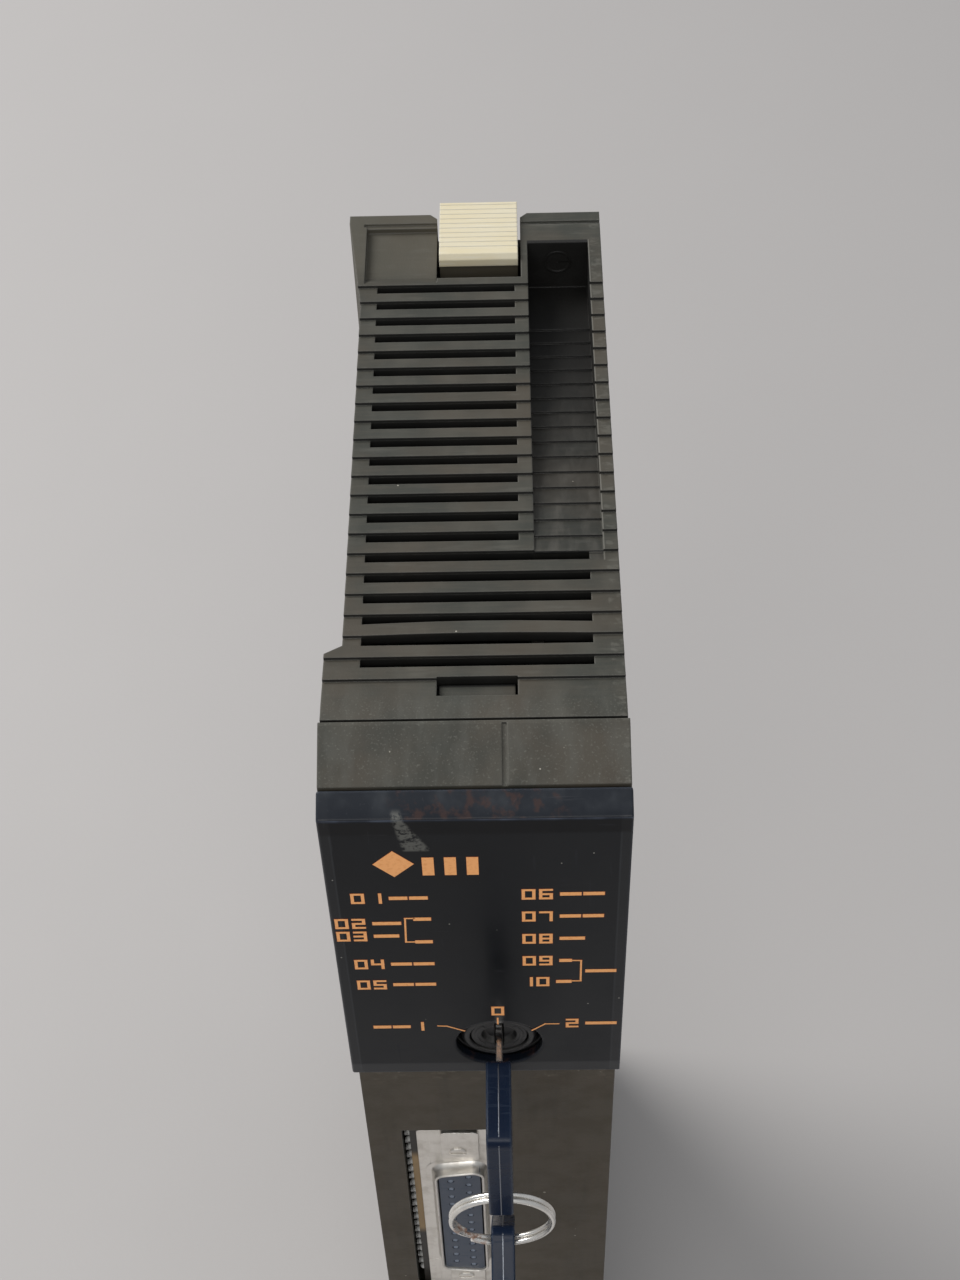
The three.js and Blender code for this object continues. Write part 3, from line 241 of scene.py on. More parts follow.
def case_plastic():
    paint = Paint("case_plastic", IOR=1.46, Specular_IOR_Level=0.4)
    x, y, z = paint.axis("X"), paint.axis("Y"), paint.axis("Z")
    patches = paint.ramp(paint.grain(15, shift=2.0, detail=4), 0.36, 0.66)
    film = paint.ramp(paint.grain(4.5, stretch=(1, 0.5, 1), shift=4.0, detail=5), 0.4, 0.72)
    fine = paint.grain(0.45, detail=2)
    rubs = paint.ramp(paint.grain(1.3, stretch=(0.16, 1, 1), shift=9.0, detail=4), 0.56, 0.76)
    streaks = paint.ramp(paint.grain(2.6, stretch=(1, 1, 0.1), shift=1.0, detail=4), 0.48, 0.75)
    up = paint.ramp(paint.facing("Z"), 0.2, 0.9)
    worn, rounded = paint.edges(0.3)
    rear = paint.ramp(y, BACK - 16, BACK - 10) * paint.ramp(x, 2, -4)
    along = between(paint, y, CHANNEL_FRONT, CHANNEL_REAR + 0.4)
    channel = between(paint, x, CHANNEL_LEFT, CHANNEL_RIGHT, 0.12) * along
    depth = paint.ramp(y, CHANNEL_FRONT - 4, CHANNEL_REAR - 14)
    strip = paint.ramp(x, CHANNEL_RIGHT + 0.2, CHANNEL_RIGHT + 0.5) * up
    scuffs = paint.ramp(paint.grain(0.9, stretch=(0.5, 1, 1), shift=11.0, detail=5), 0.5, 0.66)
    front_face = paint.ramp(paint.facing("Y"), -0.7, -0.95)
    low = paint.ramp(z, 176, 188, 1, 0) * front_face
    louvres = between(paint, y, WINDOW_FACE + 17, BACK - 14.4) * between(paint, x, -15.6, 17.9)
    riser_shade = paint.ramp(z, SHELL_TOP - 0.8, SHELL_TOP - 0.6) * paint.ramp(y, BACK - 14, BACK - 14.5)
    riser_shade = front_face * (riser_shade + channel * paint.ramp(y, CHANNEL_REAR - 2, CHANNEL_REAR - 3))
    slot = louvres * paint.ramp(z, SHELL_TOP - 0.52, SHELL_TOP - 0.72)
    slot = slot * paint.ramp(z, 238, 240) * (1 - channel)
    brush = paint.ramp(paint.grain(0.5, stretch=(0.1, 1, 1), shift=13.0, detail=3), 0.44, 0.7)

    color = paint.blend(patches, (0.032, 0.034, 0.028), (0.055, 0.046, 0.034))
    color = paint.blend(rear * 0.55, color, (0.080, 0.070, 0.050))
    top = paint.ramp(y, WINDOW_FACE + 12, WINDOW_FACE + 17)
    color = paint.blend(brush * up * top * 0.3, color, (0.070, 0.062, 0.048))
    haze = paint.ramp(paint.grain(2.4, stretch=(1, 0.3, 0.3), shift=15.0, detail=5), 0.42, 0.7)
    color = paint.blend(haze * (1 - top) * up * 0.45, color, (0.085, 0.086, 0.076))
    color = paint.blend(low * 0.8, color, (0.066, 0.052, 0.036))
    color = paint.blend(streaks * 0.35 * low, color, (0.034, 0.029, 0.022))
    color = paint.blend(film * up * 0.36, color, (0.086, 0.083, 0.070))
    color = paint.blend(rubs * (0.06 + 0.24 * up * top), color, (0.13, 0.127, 0.112))
    color = paint.blend(scuffs * strip * 0.32, color, (0.15, 0.145, 0.125))
    color = paint.blend(fine * 0.18, color, (0.078, 0.075, 0.062))
    color = paint.blend(worn * 0.6, color, (0.17, 0.165, 0.148))
    # Painted shade: the ledge in the latch's recess, under the latch's lip, is painted near black.
    notch_shade = between(paint, x, LATCH_X - 6.1, LATCH_X + 6.1, 0.1)
    notch_shade = notch_shade * paint.ramp(y, BACK - 14.6, BACK - 14.1)
    notch_shade = notch_shade * paint.ramp(z, SHELL_TOP - 1.3, SHELL_TOP - 1.7)
    color = paint.blend(notch_shade * 0.8, color, (0.016, 0.012, 0.008))
    # Painted shade: the slot openings are painted near black, for the shade inside them.
    color = paint.blend(slot * 0.92, color, (0.004, 0.004, 0.0038))
    runs = paint.ramp(paint.grain(1.4, stretch=(1, 0.12, 1), shift=14.0, detail=4), 0.42, 0.7)
    # Painted shade down the channel, growing darker towards its deep end.
    color = paint.blend(channel * (0.3 + 0.65 * depth), color, (0.0056, 0.0054, 0.0050))
    dust = paint.ramp(paint.grain(0.28, shift=18.0, detail=3), 0.56, 0.72) * (1 - top) * up
    color = paint.blend(dust * 0.28, color, (0.19, 0.19, 0.165))
    color = paint.blend(channel * (film * 0.3 + runs * 0.4) * (1 - depth), color, (0.088, 0.082, 0.072))
    # Painted shade: the step faces over the slots and the channel's end wall are painted near black.
    color = paint.blend(riser_shade * 0.85, color, (0.006, 0.0058, 0.0052))
    # Painted highlight: a thin pale line along the channel's right edge.
    rim = line_at(paint, x, CHANNEL_RIGHT + 0.08, 0.13) * along * up
    color = paint.blend(rim * 0.3, color, (0.26, 0.25, 0.22))
    grit = paint.specks(2.6, 0.15, 0.2) + 0.8 * paint.specks(5.5, 0.3, 0.1, shift=0.3)
    near_window = paint.ramp(z, WINDOW_TOP - 74, WINDOW_TOP - 63) * low
    here = paint.ramp(paint.grain(8, shift=6.0), 0.44, 0.6) + 0.6 * (1 - top)
    color = paint.blend(grit * here, color, (0.36, 0.34, 0.29))
    crumbs = paint.specks(1.5, 0.2, 0.4, shift=0.5) + 0.4 * scuffs
    clumps = paint.ramp(paint.grain(4, shift=16.0), 0.42, 0.6)
    color = paint.blend(crumbs * near_window * clumps, color, (0.26, 0.235, 0.18))
    paint.feed("Base Color", color)
    paint.feed("Roughness", 0.6 + 0.16 * film + 0.1 * rubs - 0.1 * worn - 0.06 * channel)
    height = fine * 0.6 + 0.5 * paint.grain(0.16, detail=1) + 0.3 * rubs + 0.8 * scuffs * strip
    paint.bumps(height, 0.035, rounded)
    return paint.material


# %% [markdown]
# ## The smoked window
#
# The window is a shallow cap of smoked plastic, so dark that the lamps behind show only
# when lit. What is seen of it is gloss, and much of that gloss is painted into its colour:
# a painted reflection on the face, lighter to the right and towards the foot, a bluer
# painted reflection on the bevelled top with a paler band along its top, a painted highlight
# along the bevel's lower edge and a dark band of painted shade under it. Besides these it
# has fine scratches, grains of dust, and one pale scuff over the top edge. A faint line runs
# round the face where the cap's thin walls meet it.

# %% window plastic
def window_plastic():
    paint = Paint("window_plastic", IOR=1.42, Specular_IOR_Level=0.16, Coat_Roughness=0.25)
    x, z = paint.axis("X"), paint.axis("Z")
    side = paint.node("Math", {"operation": "ABSOLUTE"}, {0: x})
    border = 0.5 * paint.ramp(side, WINDOW_HALF - 1.6, WINDOW_HALF - 1.2)
    border = border + paint.ramp(z, window_low.z + 2.6, window_low.z + 2.2)
    rim = line_at(paint, side, WINDOW_HALF - 1.35, 0.16) + line_at(paint, z, window_low.z + 2.5, 0.16)
    haze = paint.ramp(paint.grain(9, shift=3.0, detail=4), 0.35, 0.75)
    hair = paint.ramp(paint.grain(0.45, stretch=(1, 1, 0.05), shift=8.0, detail=2), 0.68, 0.73)
    hair = hair + paint.ramp(paint.grain(0.45, stretch=(0.06, 1, 0.5), shift=5.0, detail=2), 0.69, 0.74)
    worn, rounded = paint.edges(0.45)
    bevel = paint.ramp(paint.facing("Z"), 0.3, 0.7)
    right = paint.ramp(x, -4, 14)
    foot = paint.ramp(z, WINDOW_TOP - 20, WINDOW_TOP - 58)

    below = WINDOW_TOP - z
    smear_x = x + 9.2 - 0.33 * below
    off = paint.node("Math", {"operation": "ABSOLUTE"}, {0: smear_x})
    ragged = paint.ramp(paint.grain(0.8, shift=7.0, detail=6, rough=0.7), 0.4, 0.56)
    reach = between(paint, z, WINDOW_TOP - 6.2, WINDOW_TOP + 0.2, 0.5)
    smear = paint.ramp(off - 0.16 * below, 0.9, 0.3) * reach * ragged
    under_edge_shade = between(paint, z, WINDOW_TOP - 2.6, WINDOW_TOP - 0.4, 0.8) * (1 - bevel)
    upper = paint.ramp(z, WINDOW_TOP - 0.2, WINDOW_TOP + 1.2) * bevel
    pale = paint.ramp(paint.grain(5, stretch=(1, 1, 0.4), shift=17.0, detail=3), 0.4, 0.7)
    blush = paint.ramp(paint.grain(1.6, stretch=(1, 1, 0.5), shift=12.0, detail=4), 0.5, 0.66)
    blush = blush * bevel * between(paint, x, -8, 9, 3)

    color = paint.blend(haze, (0.0036, 0.0043, 0.0058), (0.0062, 0.0072, 0.0092))
    # Painted reflection: the face is painted lighter towards the right and towards its foot.
    color = paint.blend(right * 0.5 + foot * 0.4, color, (0.0110, 0.0120, 0.0142))
    color = paint.blend(border * 0.6, color, (0.0165, 0.0180, 0.0205))
    color = paint.blend(rim * 0.25, color, (0.040, 0.044, 0.050))
    # Painted reflection: the bevelled top, which looks up, is painted bluer, and paler in a band along its top.
    color = paint.blend(bevel, color, (0.005, 0.0075, 0.013))
    color = paint.blend(upper * (0.2 + 0.65 * pale), color, (0.036, 0.041, 0.048))
    color = paint.blend(blush * 0.5, color, (0.060, 0.028, 0.020))
    # Painted highlight: a bright bluish line along the bevel's lower edge.
    bevel_edge_highlight = line_at(paint, z, WINDOW_TOP - 0.25, 0.25) * (0.35 + 0.65 * pale)
    color = paint.blend(bevel_edge_highlight, color, (0.16, 0.19, 0.26))
    # Painted shade: a dark band on the face just under the bevel's lower edge.
    color = paint.blend(under_edge_shade * 0.9, color, (0.0012, 0.0015, 0.0026))
    color = paint.blend(hair * 0.14, color, (0.09, 0.09, 0.10))
    color = paint.blend(worn * 0.7, color, (0.085, 0.098, 0.125))
    color = paint.blend(smear * 0.62, color, (0.17, 0.17, 0.155))
    color = paint.blend(paint.specks(2.0, 0.12, 0.16, shift=0.1), color, (0.34, 0.33, 0.30))
    paint.feed("Base Color", color)
    paint.feed("Coat Weight", 0.06 + 0.1 * bevel + 0.2 * border)
    paint.feed("Roughness", 0.28 + 0.14 * haze + 0.25 * hair + 0.4 * smear + 0.16 * bevel)
    paint.bumps(paint.grain(6, detail=2) + 0.2 * smear, 0.02, rounded)
    return paint.material


# %% [markdown]
# ## Plain plastics
#
# The other mouldings differ only in colour, gloss and how much they show their age: the
# ivory latch has yellowed in streaks and its front under the lip is painted dark as painted
# shade, the keys are navy with paler rubbed edges, and the port bodies are slate blue. One
# recipe with a few numbers serves them all.

# %% one recipe for the small mouldings
def moulded(name, base, aged, rubbed, gloss, age=0.5, wear=0.5, dust=0.15, sheen=0.0,
            run=(1, 0.35, 1), scored=0.3, shade=None, shine=0.5):
    paint = Paint(name, Coat_Weight=sheen, Coat_Roughness=0.12, Specular_IOR_Level=shine)
    clouds = paint.ramp(paint.grain(3.0, stretch=run, detail=5), 0.35, 0.7)
    fine = paint.grain(0.3, detail=2, shift=3.0)
    scratch = paint.ramp(paint.grain(0.6, stretch=(0.08, 1, 1), shift=5.0, detail=2), 0.62, 0.7)
    up = paint.ramp(paint.facing("Z"), 0.3, 0.9)
    worn, rounded = paint.edges(0.3)
    color = paint.blend(clouds * age, base, aged)
    color = paint.blend(scratch * wear * scored, color, rubbed)
    color = paint.blend(worn * wear, color, rubbed)
    # Painted shade, dark brown, where the shade mask is high.
    if shade is not None:
        color = paint.blend(shade(paint), color, (0.03, 0.024, 0.016))
    color = paint.blend((up * fine + paint.specks(2.4, 0.12, 0.2)) * dust, color, (0.4, 0.39, 0.36))
    paint.feed("Base Color", color)
    paint.feed("Roughness", gloss + 0.14 * clouds + 0.2 * scratch)
    paint.bumps(fine + 0.5 * clouds, 0.012, rounded)
    return paint.material


# %% [markdown]
# ## Metals
#
# Metal is told apart by its colour and by how its polish is broken: nickel plate over
# pressed steel is dull and cloudy with dark stains, plain steel is smoother, and turned
# brass is warm. A metal's base colour is what it reflects, so it is pale, and the darker
# stains take some of the metal away. The ring's wire has a recipe of its own, further on.

# %% one recipe for the metals
def metal(name, base, stain, polish, stained=0.3, brushed=(1, 1, 1)):
    paint = Paint(name)
    clouds = paint.ramp(paint.grain(3, detail=5, shift=2.0), 0.42, 0.72)
    brush = paint.grain(0.35, stretch=brushed, detail=3, shift=6.0)
    rounded = paint.edges(0.2)[1]
    color = paint.blend(clouds * stained, base, stain)
    paint.feed("Base Color", paint.blend(brush * 0.2, color, stain))
    paint.feed("Metallic", 1 - 0.25 * clouds * stained)
    paint.feed("Roughness", polish + 0.25 * clouds * stained + 0.12 * brush)
    paint.bumps(brush + clouds, 0.01, rounded)
    return paint.material


# %% [markdown]
# ## Circuit boards
#
# A board is green lacquer over glass cloth. Its cut edges have no lacquer, so they show
# the tan laminate: the finish reads which way the face looks, because both boards stand
# across X. Above and below a middle stretch the cut edge is painted near black, as painted
# shadow. Copper tracks under the lacquer are a slightly paler green, in straight runs.

# %% circuit board
def board():
    paint = Paint("board", Coat_Weight=0.3, Coat_Roughness=0.2)
    broad = paint.node("Math", {"operation": "ABSOLUTE"}, {0: paint.facing("X")})
    face = paint.ramp(broad, 0.4, 0.7)
    runs = paint.node("TexBrick", {"offset": 0.37}, {
        "Vector": paint.node("Mapping", None, {"Vector": paint.place, "Rotation": (0, math.pi / 2, 0)}),
        "Scale": 1 / (9 * MM), "Mortar Size": 0.035, "Brick Width": 1.7, "Row Height": 0.24,
    }, out="Fac")
    weave = paint.grain(0.6, detail=2)
    color = paint.blend(runs, (0.018, 0.075, 0.038), (0.05, 0.15, 0.075))
    color = paint.blend(weave * 0.2, color, (0.03, 0.1, 0.05))
    cut = paint.blend(paint.grain(1.4, stretch=(1, 1, 0.2)), (0.20, 0.125, 0.05), (0.36, 0.24, 0.11))
    lit_stretch = between(paint, paint.axis("Z"), 119, 144, 3)
    # Painted shadow: outside the lit stretch the cut edge is painted near black.
    cut = paint.blend(lit_stretch, (0.018, 0.014, 0.010), cut)
    paint.feed("Base Color", paint.blend(face, cut, color))
    paint.feed("Roughness", 0.65 - 0.3 * face)
    paint.bumps(runs + weave * 0.4, 0.02)
    return paint.material


# %% [markdown]
# ## A finish for each slot
#
# The record names a material slot for every solid. The table below makes one finish for
# each slot, and a few solids that share a slot but look different get their own.

# %% make the finishes
def latch_lip_shade(paint):
    """Painted shade on the latch's front, from just under its lip down."""
    lip = latch_high.z - 1.95
    front = paint.ramp(paint.axis("Y"), latch_low.y + 3.6, latch_low.y + 3.2)
    return 0.93 * front * paint.ramp(paint.axis("Z"), lip, lip - 0.1)


FINISH = {
    "case_plastic": case_plastic(),
    "window_plastic": window_plastic(),
    "black_plastic": moulded("black_plastic", (0.010, 0.010, 0.011), (0.018, 0.018, 0.018),
                             (0.07, 0.07, 0.07), 0.32, wear=0.5, dust=0.2),
    "lamp_plastic": moulded("lamp_plastic", (0.30, 0.02, 0.012), (0.22, 0.015, 0.01),
                            (0.5, 0.1, 0.08), 0.2),
    "board": board(),
    "nickel": metal("nickel", (0.84, 0.81, 0.76), (0.50, 0.46, 0.40), 0.28, 0.5, (1, 1, 0.08)),
    "steel": metal("steel", (0.84, 0.82, 0.79), (0.55, 0.52, 0.48), 0.16, 0.15),
    "brass": metal("brass", (0.72, 0.50, 0.20), (0.4, 0.26, 0.1), 0.25, 0.35),
    "port_plastic": moulded("port_plastic", (0.032, 0.045, 0.072), (0.052, 0.068, 0.098),
                            (0.16, 0.18, 0.21), 0.38, dust=0.1),
    "key_plastic": moulded("key_plastic", (0.0040, 0.0100, 0.0270), (0.0070, 0.016, 0.038),
                           (0.085, 0.12, 0.18), 0.2, wear=0.75, dust=0.02, sheen=0.02, scored=0.06,
                           shine=0.14),
    "ivory_plastic": moulded("ivory_plastic", (0.63, 0.575, 0.43), (0.60, 0.51, 0.31),
                             (0.68, 0.67, 0.62), 0.5, age=0.5, wear=0.8, dust=0.02,
                             run=(0.25, 1, 1), shade=latch_lip_shade),
    "battery_wrap": moulded("battery_wrap", (0.05, 0.09, 0.3), (0.04, 0.07, 0.22),
                            (0.3, 0.33, 0.4), 0.3),
}
SEAM_STEEL = metal("seam_steel", (0.30, 0.32, 0.36), (0.16, 0.17, 0.20), 0.3, 0.3)
SOLDER = moulded("solder", (0.62, 0.62, 0.60), (0.34, 0.33, 0.31), (0.85, 0.85, 0.83), 0.25, sheen=0.6)
SOCKET_METAL = moulded("socket_metal", (0.16, 0.20, 0.28), (0.10, 0.13, 0.19), (0.4, 0.44, 0.5), 0.3)
GOLD = metal("gold_plate", (0.86, 0.62, 0.26), (0.6, 0.42, 0.18), 0.2, 0.2)
OWN_FINISH = {
    "upper_port_tails": GOLD,
    "lower_port_tails": GOLD,
    "rear_contacts": GOLD,
    "edge_header": SOLDER,
}
slots = {row["node"]: row["material_slot"] for row in frame["record"]["subparts"]}
for name, solid in frame["nodes"].items():
    solid.data.materials.clear()
    solid.data.materials.append(OWN_FINISH.get(name, FINISH[slots[name]]))
print("finishes:", len(FINISH) + 4, "solids painted:", len(slots))

# %% [markdown]
# ## Rounding the solids' edges
#
# No moulded or stamped edge is perfectly sharp, and the small highlight along it is what
# makes a piece look solid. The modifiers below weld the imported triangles, merge flat
# ones into whole faces, and round what is left. The case itself is left out: its slots are
# too fine for a modifier, and its finish rounds the light along its edges instead.

# %% rounded edges
ROUNDED = {
    "release_latch": 0.4, "indicator_window": 0.4, "front_hood": 0.25,
    "lock_barrel": 0.2, "lock_rotor": 0.15, "key_blade": 0.1, "spare_key_blade": 0.1,
    "upper_port_screw_top": 0.15, "upper_port_screw_foot": 0.15,
    "lower_port_screw_top": 0.15, "lower_port_screw_foot": 0.15,
    "port_bracket": 0.25, "rear_plug": 0.3, "power_converter": 0.4,
    "processor_chip": 0.3, "program_memory": 0.3, "gate_array": 0.3, "battery_holder": 0.3,
    "switch_block": 0.3, "case_screw_1": 0.15, "case_screw_2": 0.15, "case_screw_3": 0.15,
    "case_screw_4": 0.15, "capacitor_1": 0.3, "capacitor_2": 0.3, "battery": 0.4,
}
CHAMFERED = {"key_bow": 0.75, "spare_key_bow": 0.75}


def round_edges(solid, width, steps=3):
    weld = solid.modifiers.new("weld", "WELD")
    weld.merge_threshold = 0.002 * MM
    flat = solid.modifiers.new("flat", "DECIMATE")
    flat.decimate_type = "DISSOLVE"
    flat.angle_limit = math.radians(1)
    bevel = solid.modifiers.new("bevel", "BEVEL")
    bevel.width = width * MM
    bevel.segments = steps
    bevel.limit_method = "ANGLE"
    bevel.angle_limit = math.radians(32)
    bevel.use_clamp_overlap = True
    normals = solid.modifiers.new("normals", "WEIGHTED_NORMAL")
    normals.keep_sharp = True


for name, width in ROUNDED.items():
    round_edges(frame["nodes"][name], width)
for name, width in CHAMFERED.items():
    round_edges(frame["nodes"][name], width, steps=1)
print("rounded:", len(ROUNDED) + len(CHAMFERED))

# %% [markdown]
# ## Building pieces from loops
#
# Wires, drawn shells and ribbons are all the same construction: closed loops of points,
# one after another, joined by a skin of four-sided faces. Two helpers do it. One skins a
# row of loops, and one turns points and faces into a piece that rides on a body.

# %% piece helpers
def skin(loops, closed_row=False, cap=True):
    """Points and faces of the surface through a row of equal loops."""
    points = [p for loop in loops for p in loop]
    size = len(loops[0])
    faces = []
    rows = len(loops) if closed_row else len(loops) - 1
    for r in range(rows):
        a, b = r * size, ((r + 1) % len(loops)) * size
        for i in range(size):
            j = (i + 1) % size
            faces.append((a + i, a + j, b + j, b + i))
    if cap and not closed_row:
        faces.append(tuple(reversed(range(size))))
        faces.append(tuple(range((len(loops) - 1) * size, len(loops) * size)))
    return points, faces


def piece(name, parts, body, finish, smooth=True):
    """One object from several (points, faces) parts, in millimetres, riding on a body."""
    mesh = bpy.data.meshes.new(name)
    points, faces = [], []
    for part_points, part_faces in parts:
        start = len(points)
        points += [Vector(p) * MM for p in part_points]
        faces += [tuple(start + i for i in face) for face in part_faces]
    mesh.from_pydata(points, [], faces)
    work = bmesh.new()
    work.from_mesh(mesh)
    bmesh.ops.recalc_face_normals(work, faces=work.faces)
    work.to_mesh(mesh)
    work.free()
    if smooth:
        mesh.shade_smooth()
        mesh.set_sharp_from_angle(angle=math.radians(35))
    mesh.materials.append(finish)
    made = bpy.data.objects.new(name, mesh)
    bpy.context.scene.collection.objects.link(made)
    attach(made, body)
    return made


def tube(path, radius, sides=12, closed=False):
    """A round wire along a path of points."""
    loops = []
    count = len(path)
    side = None
    for i, point in enumerate(path):
        ahead = path[(i + 1) % count] if closed or i < count - 1 else path[i]
        behind = path[i - 1] if closed or i > 0 else path[i]
        run = (Vector(ahead) - Vector(behind)).normalized()
        side = (side or Vector((0, 1, 0))).cross(run).cross(run) * -1
        side.normalize()
        other = run.cross(side)
        turn = [2 * math.pi * k / sides for k in range(sides)]
        loops.append([Vector(point) + radius * (math.cos(t) * side + math.sin(t) * other) for t in turn])
    return skin(loops, closed_row=closed)


def slab(corners, y_front, y_back):
    """A flat plate from an (x, z) outline, standing across Y."""
    return skin([[(x, y_front, z) for x, z in corners], [(x, y_back, z) for x, z in corners]])


print("piece helpers ready")

# %% [markdown]
# ## The split ring
#
# A split ring is a length of spring wire wound twice, with a short jog where one turn
# steps beside the other, and two cut ends. A plain torus would miss the line between the
# turns, which is what makes it read as a split ring, so the wire itself is wound here.

# %% split ring
ring_low, ring_high = in_mm("split_ring")
ring_centre = (ring_low + ring_high) / 2
RING_WIRE = 0.39
ring_radius = (ring_high.x - ring_low.x) / 2 - RING_WIRE
CUT_AT = math.radians(232)
wind = []
for i in range(145):
    share = i / 144
    angle = CUT_AT + share * 4 * math.pi * 0.985
    jog = min(max((share - 0.44) / 0.12, 0), 1)
    beside = (jog * jog * (3 - 2 * jog) - 0.5) * 2 * RING_WIRE * 1.06
    x = ring_centre.x + ring_radius * math.cos(angle)
    z = ring_centre.z + ring_radius * math.sin(angle)
    wind.append((x, ring_centre.y + beside, z))


def spring_wire():
    """Bright wire, stained brown over a short stretch beside its cut end."""
    paint = Paint("spring_wire")
    x, z = paint.axis("X"), paint.axis("Z")
    stretch = between(paint, x, ring_low.x + 1, ring_low.x + 4.6, 0.8)
    stretch = stretch * paint.ramp(z, ring_centre.z, ring_centre.z - 2)
    spots = paint.ramp(paint.grain(0.9, detail=4, shift=3.0), 0.4, 0.6) * stretch
    dull = paint.ramp(paint.grain(2.2, detail=4, shift=5.0), 0.4, 0.7)
    color = paint.blend(dull * 0.5, (0.88, 0.86, 0.82), (0.66, 0.63, 0.58))
    paint.feed("Base Color", paint.blend(spots * 0.85, color, (0.26, 0.11, 0.05)))
    paint.feed("Metallic", 0.9 - 0.6 * spots)
    paint.feed("Roughness", 0.24 + 0.12 * dull + 0.3 * spots)
    return paint.material


wire = piece("ring_wire", [tube(wind, RING_WIRE)], "ring", spring_wire())
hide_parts("split_ring")
print("ring wire: turns of radius", round(ring_radius, 2), "mm")

# %% [markdown]
# ## The seam round each key's bow
#
# The bow is two plastic halves over the metal, and its bright edge shows all round as a
# thin line. It is a narrow ribbon that follows the bow's outline and stands hardly proud
# of it. The spare key is the same key turned about its ring, so its ribbon uses the same
# outline, turned and moved.

# %% bow seams
bow_low, bow_high = in_mm("key_bow")
SEAM = 0.07
PROUD = 0.04


def bow_outline(radius=1.6, out=0.0):
    """The bow's rim in (y, z), with round corners, grown by a little."""
    y0, y1, z0, z1 = bow_low.y - out, bow_high.y + out, bow_low.z - out, bow_high.z + out
    rim = []
    for cy, cz, start in ((y1, z1, 0), (y0, z1, 90), (y0, z0, 180), (y1, z0, 270)):
        my = cy - radius if cy == y1 else cy + radius
        mz = cz - radius if cz == z1 else cz + radius
        for k in range(5):
            t = math.radians(start + k * 22.5)
            rim.append((my + radius * math.cos(t), mz + radius * math.sin(t)))
    return rim


def bow_ribbon(place):
    outer, inner = bow_outline(out=PROUD), bow_outline(out=-0.5)
    loops = []
    for (y, z), (v, w) in zip(outer, inner):
        corners = [(-SEAM, y, z), (SEAM, y, z), (SEAM, v, w), (-SEAM, v, w)]
        loops.append([place(LOCK_X + x, yy, zz) for x, yy, zz in corners])
    return skin(loops, closed_row=True)


hang = next(j for j in frame["joints"] if j["name"] == "spare_key_swing")
pivot = Vector(hang["pos_m"]) / MM
key_pivot = Vector(next(j for j in frame["joints"] if j["name"] == "ring_swing")["pos_m"]) / MM
SPARE_TILT = math.radians(90 - 32.8)


def on_spare(x, y, z):
    """From a place on the switch's key to the same place on the spare key."""
    away = Vector((x - LOCK_X, y - key_pivot.y, -(z - key_pivot.z)))
    return tuple(Matrix.Rotation(-SPARE_TILT, 3, "X") @ away + Vector((LOCK_X, pivot.y, pivot.z)))


for name, body, place in (("key_seam", "key", lambda *p: p), ("spare_key_seam", "spare_key", on_spare)):
    seam = piece(name, [bow_ribbon(place)], body, SEAM_STEEL)
spare_low, spare_high = in_mm("spare_key_bow")
print("spare bow box", [round(v, 1) for v in (*spare_low, *spare_high)])

# %% [markdown]
# ## Drawn port shells
#
# Each port's shell is drawn from sheet: a flat flange, a D-shaped collar with large corner
# radii and a rolled lip, and folded tabs at the ends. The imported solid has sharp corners,
# so this piece replaces it: a skin of loops goes up the collar, round its lip and down
# inside, and plates with round corners make the flange and the tabs round it.

# %% port shells
COLLAR = 2.2


def d_loop(x, z, wide, length, radius, y, corner_steps=5):
    """A D-shaped loop in the XZ plane: its long side faces +X."""
    lean = wide * math.tan(math.radians(10))
    half = length / 2
    corners = [
        (x + wide / 2, z - half), (x + wide / 2, z + half),
        (x - wide / 2, z + half - lean), (x - wide / 2, z - half + lean),
    ]
    loop = []
    for i, corner in enumerate(corners):
        at = Vector(corner)
        before = (Vector(corners[i - 1]) - at).normalized()
        after = (Vector(corners[(i + 1) % 4]) - at).normalized()
        half_angle = before.angle(after) / 2
        centre = at + (before + after).normalized() * (radius / math.sin(half_angle))
        start = at + before * (radius / math.tan(half_angle)) - centre
        end = at + after * (radius / math.tan(half_angle)) - centre
        sweep = start.angle_signed(end)
        for k in range(corner_steps + 1):
            t = -sweep * k / corner_steps
            c, s = math.cos(t), math.sin(t)
            p = centre + Vector((start.x * c - start.y * s, start.x * s + start.y * c))
            loop.append((p.x, y, p.y))
    return loop


def port_shell(port):
    """A port's place and half sizes, and its collar with the lip."""
    low, high = in_mm(port + "_shell")
    screw_low, screw_high = in_mm(port + "_screw_top")
    insert_low, insert_high = in_mm(port + "_insert")
    x, z = (screw_low.x + screw_high.x) / 2, (low.z + high.z) / 2
    face = low.y + COLLAR
    wide, length = insert_high.x - insert_low.x + 1.4, insert_high.z - insert_low.z + 1.4
    steps = [
        (wide + 2.6, length + 2.6, 3.0, face), (wide + 0.9, length + 0.9, 2.3, face - 0.1),
        (wide + 0.2, length + 0.2, 2.0, face - 0.6), (wide, length, 1.9, face - 1.2),
        (wide, length, 1.9, face - 1.75), (wide - 0.12, length - 0.12, 1.85, face - 2.05),
        (wide - 0.5, length - 0.5, 1.75, face - COLLAR), (wide - 0.88, length - 0.88, 1.6, face - 2.05),
        (wide - 1.0, length - 1.0, 1.5, face - 1.75), (wide - 1.0, length - 1.0, 1.5, face + 5.0),
    ]
    collar = skin([d_loop(x, z, w, l, r, y) for w, l, r, y in steps], cap=False)
    half, end = (high.x - low.x) / 2, (insert_high.z - insert_low.z) / 2 + 14.7 / 2 + 0.72
    return x, z, face, half, end, collar


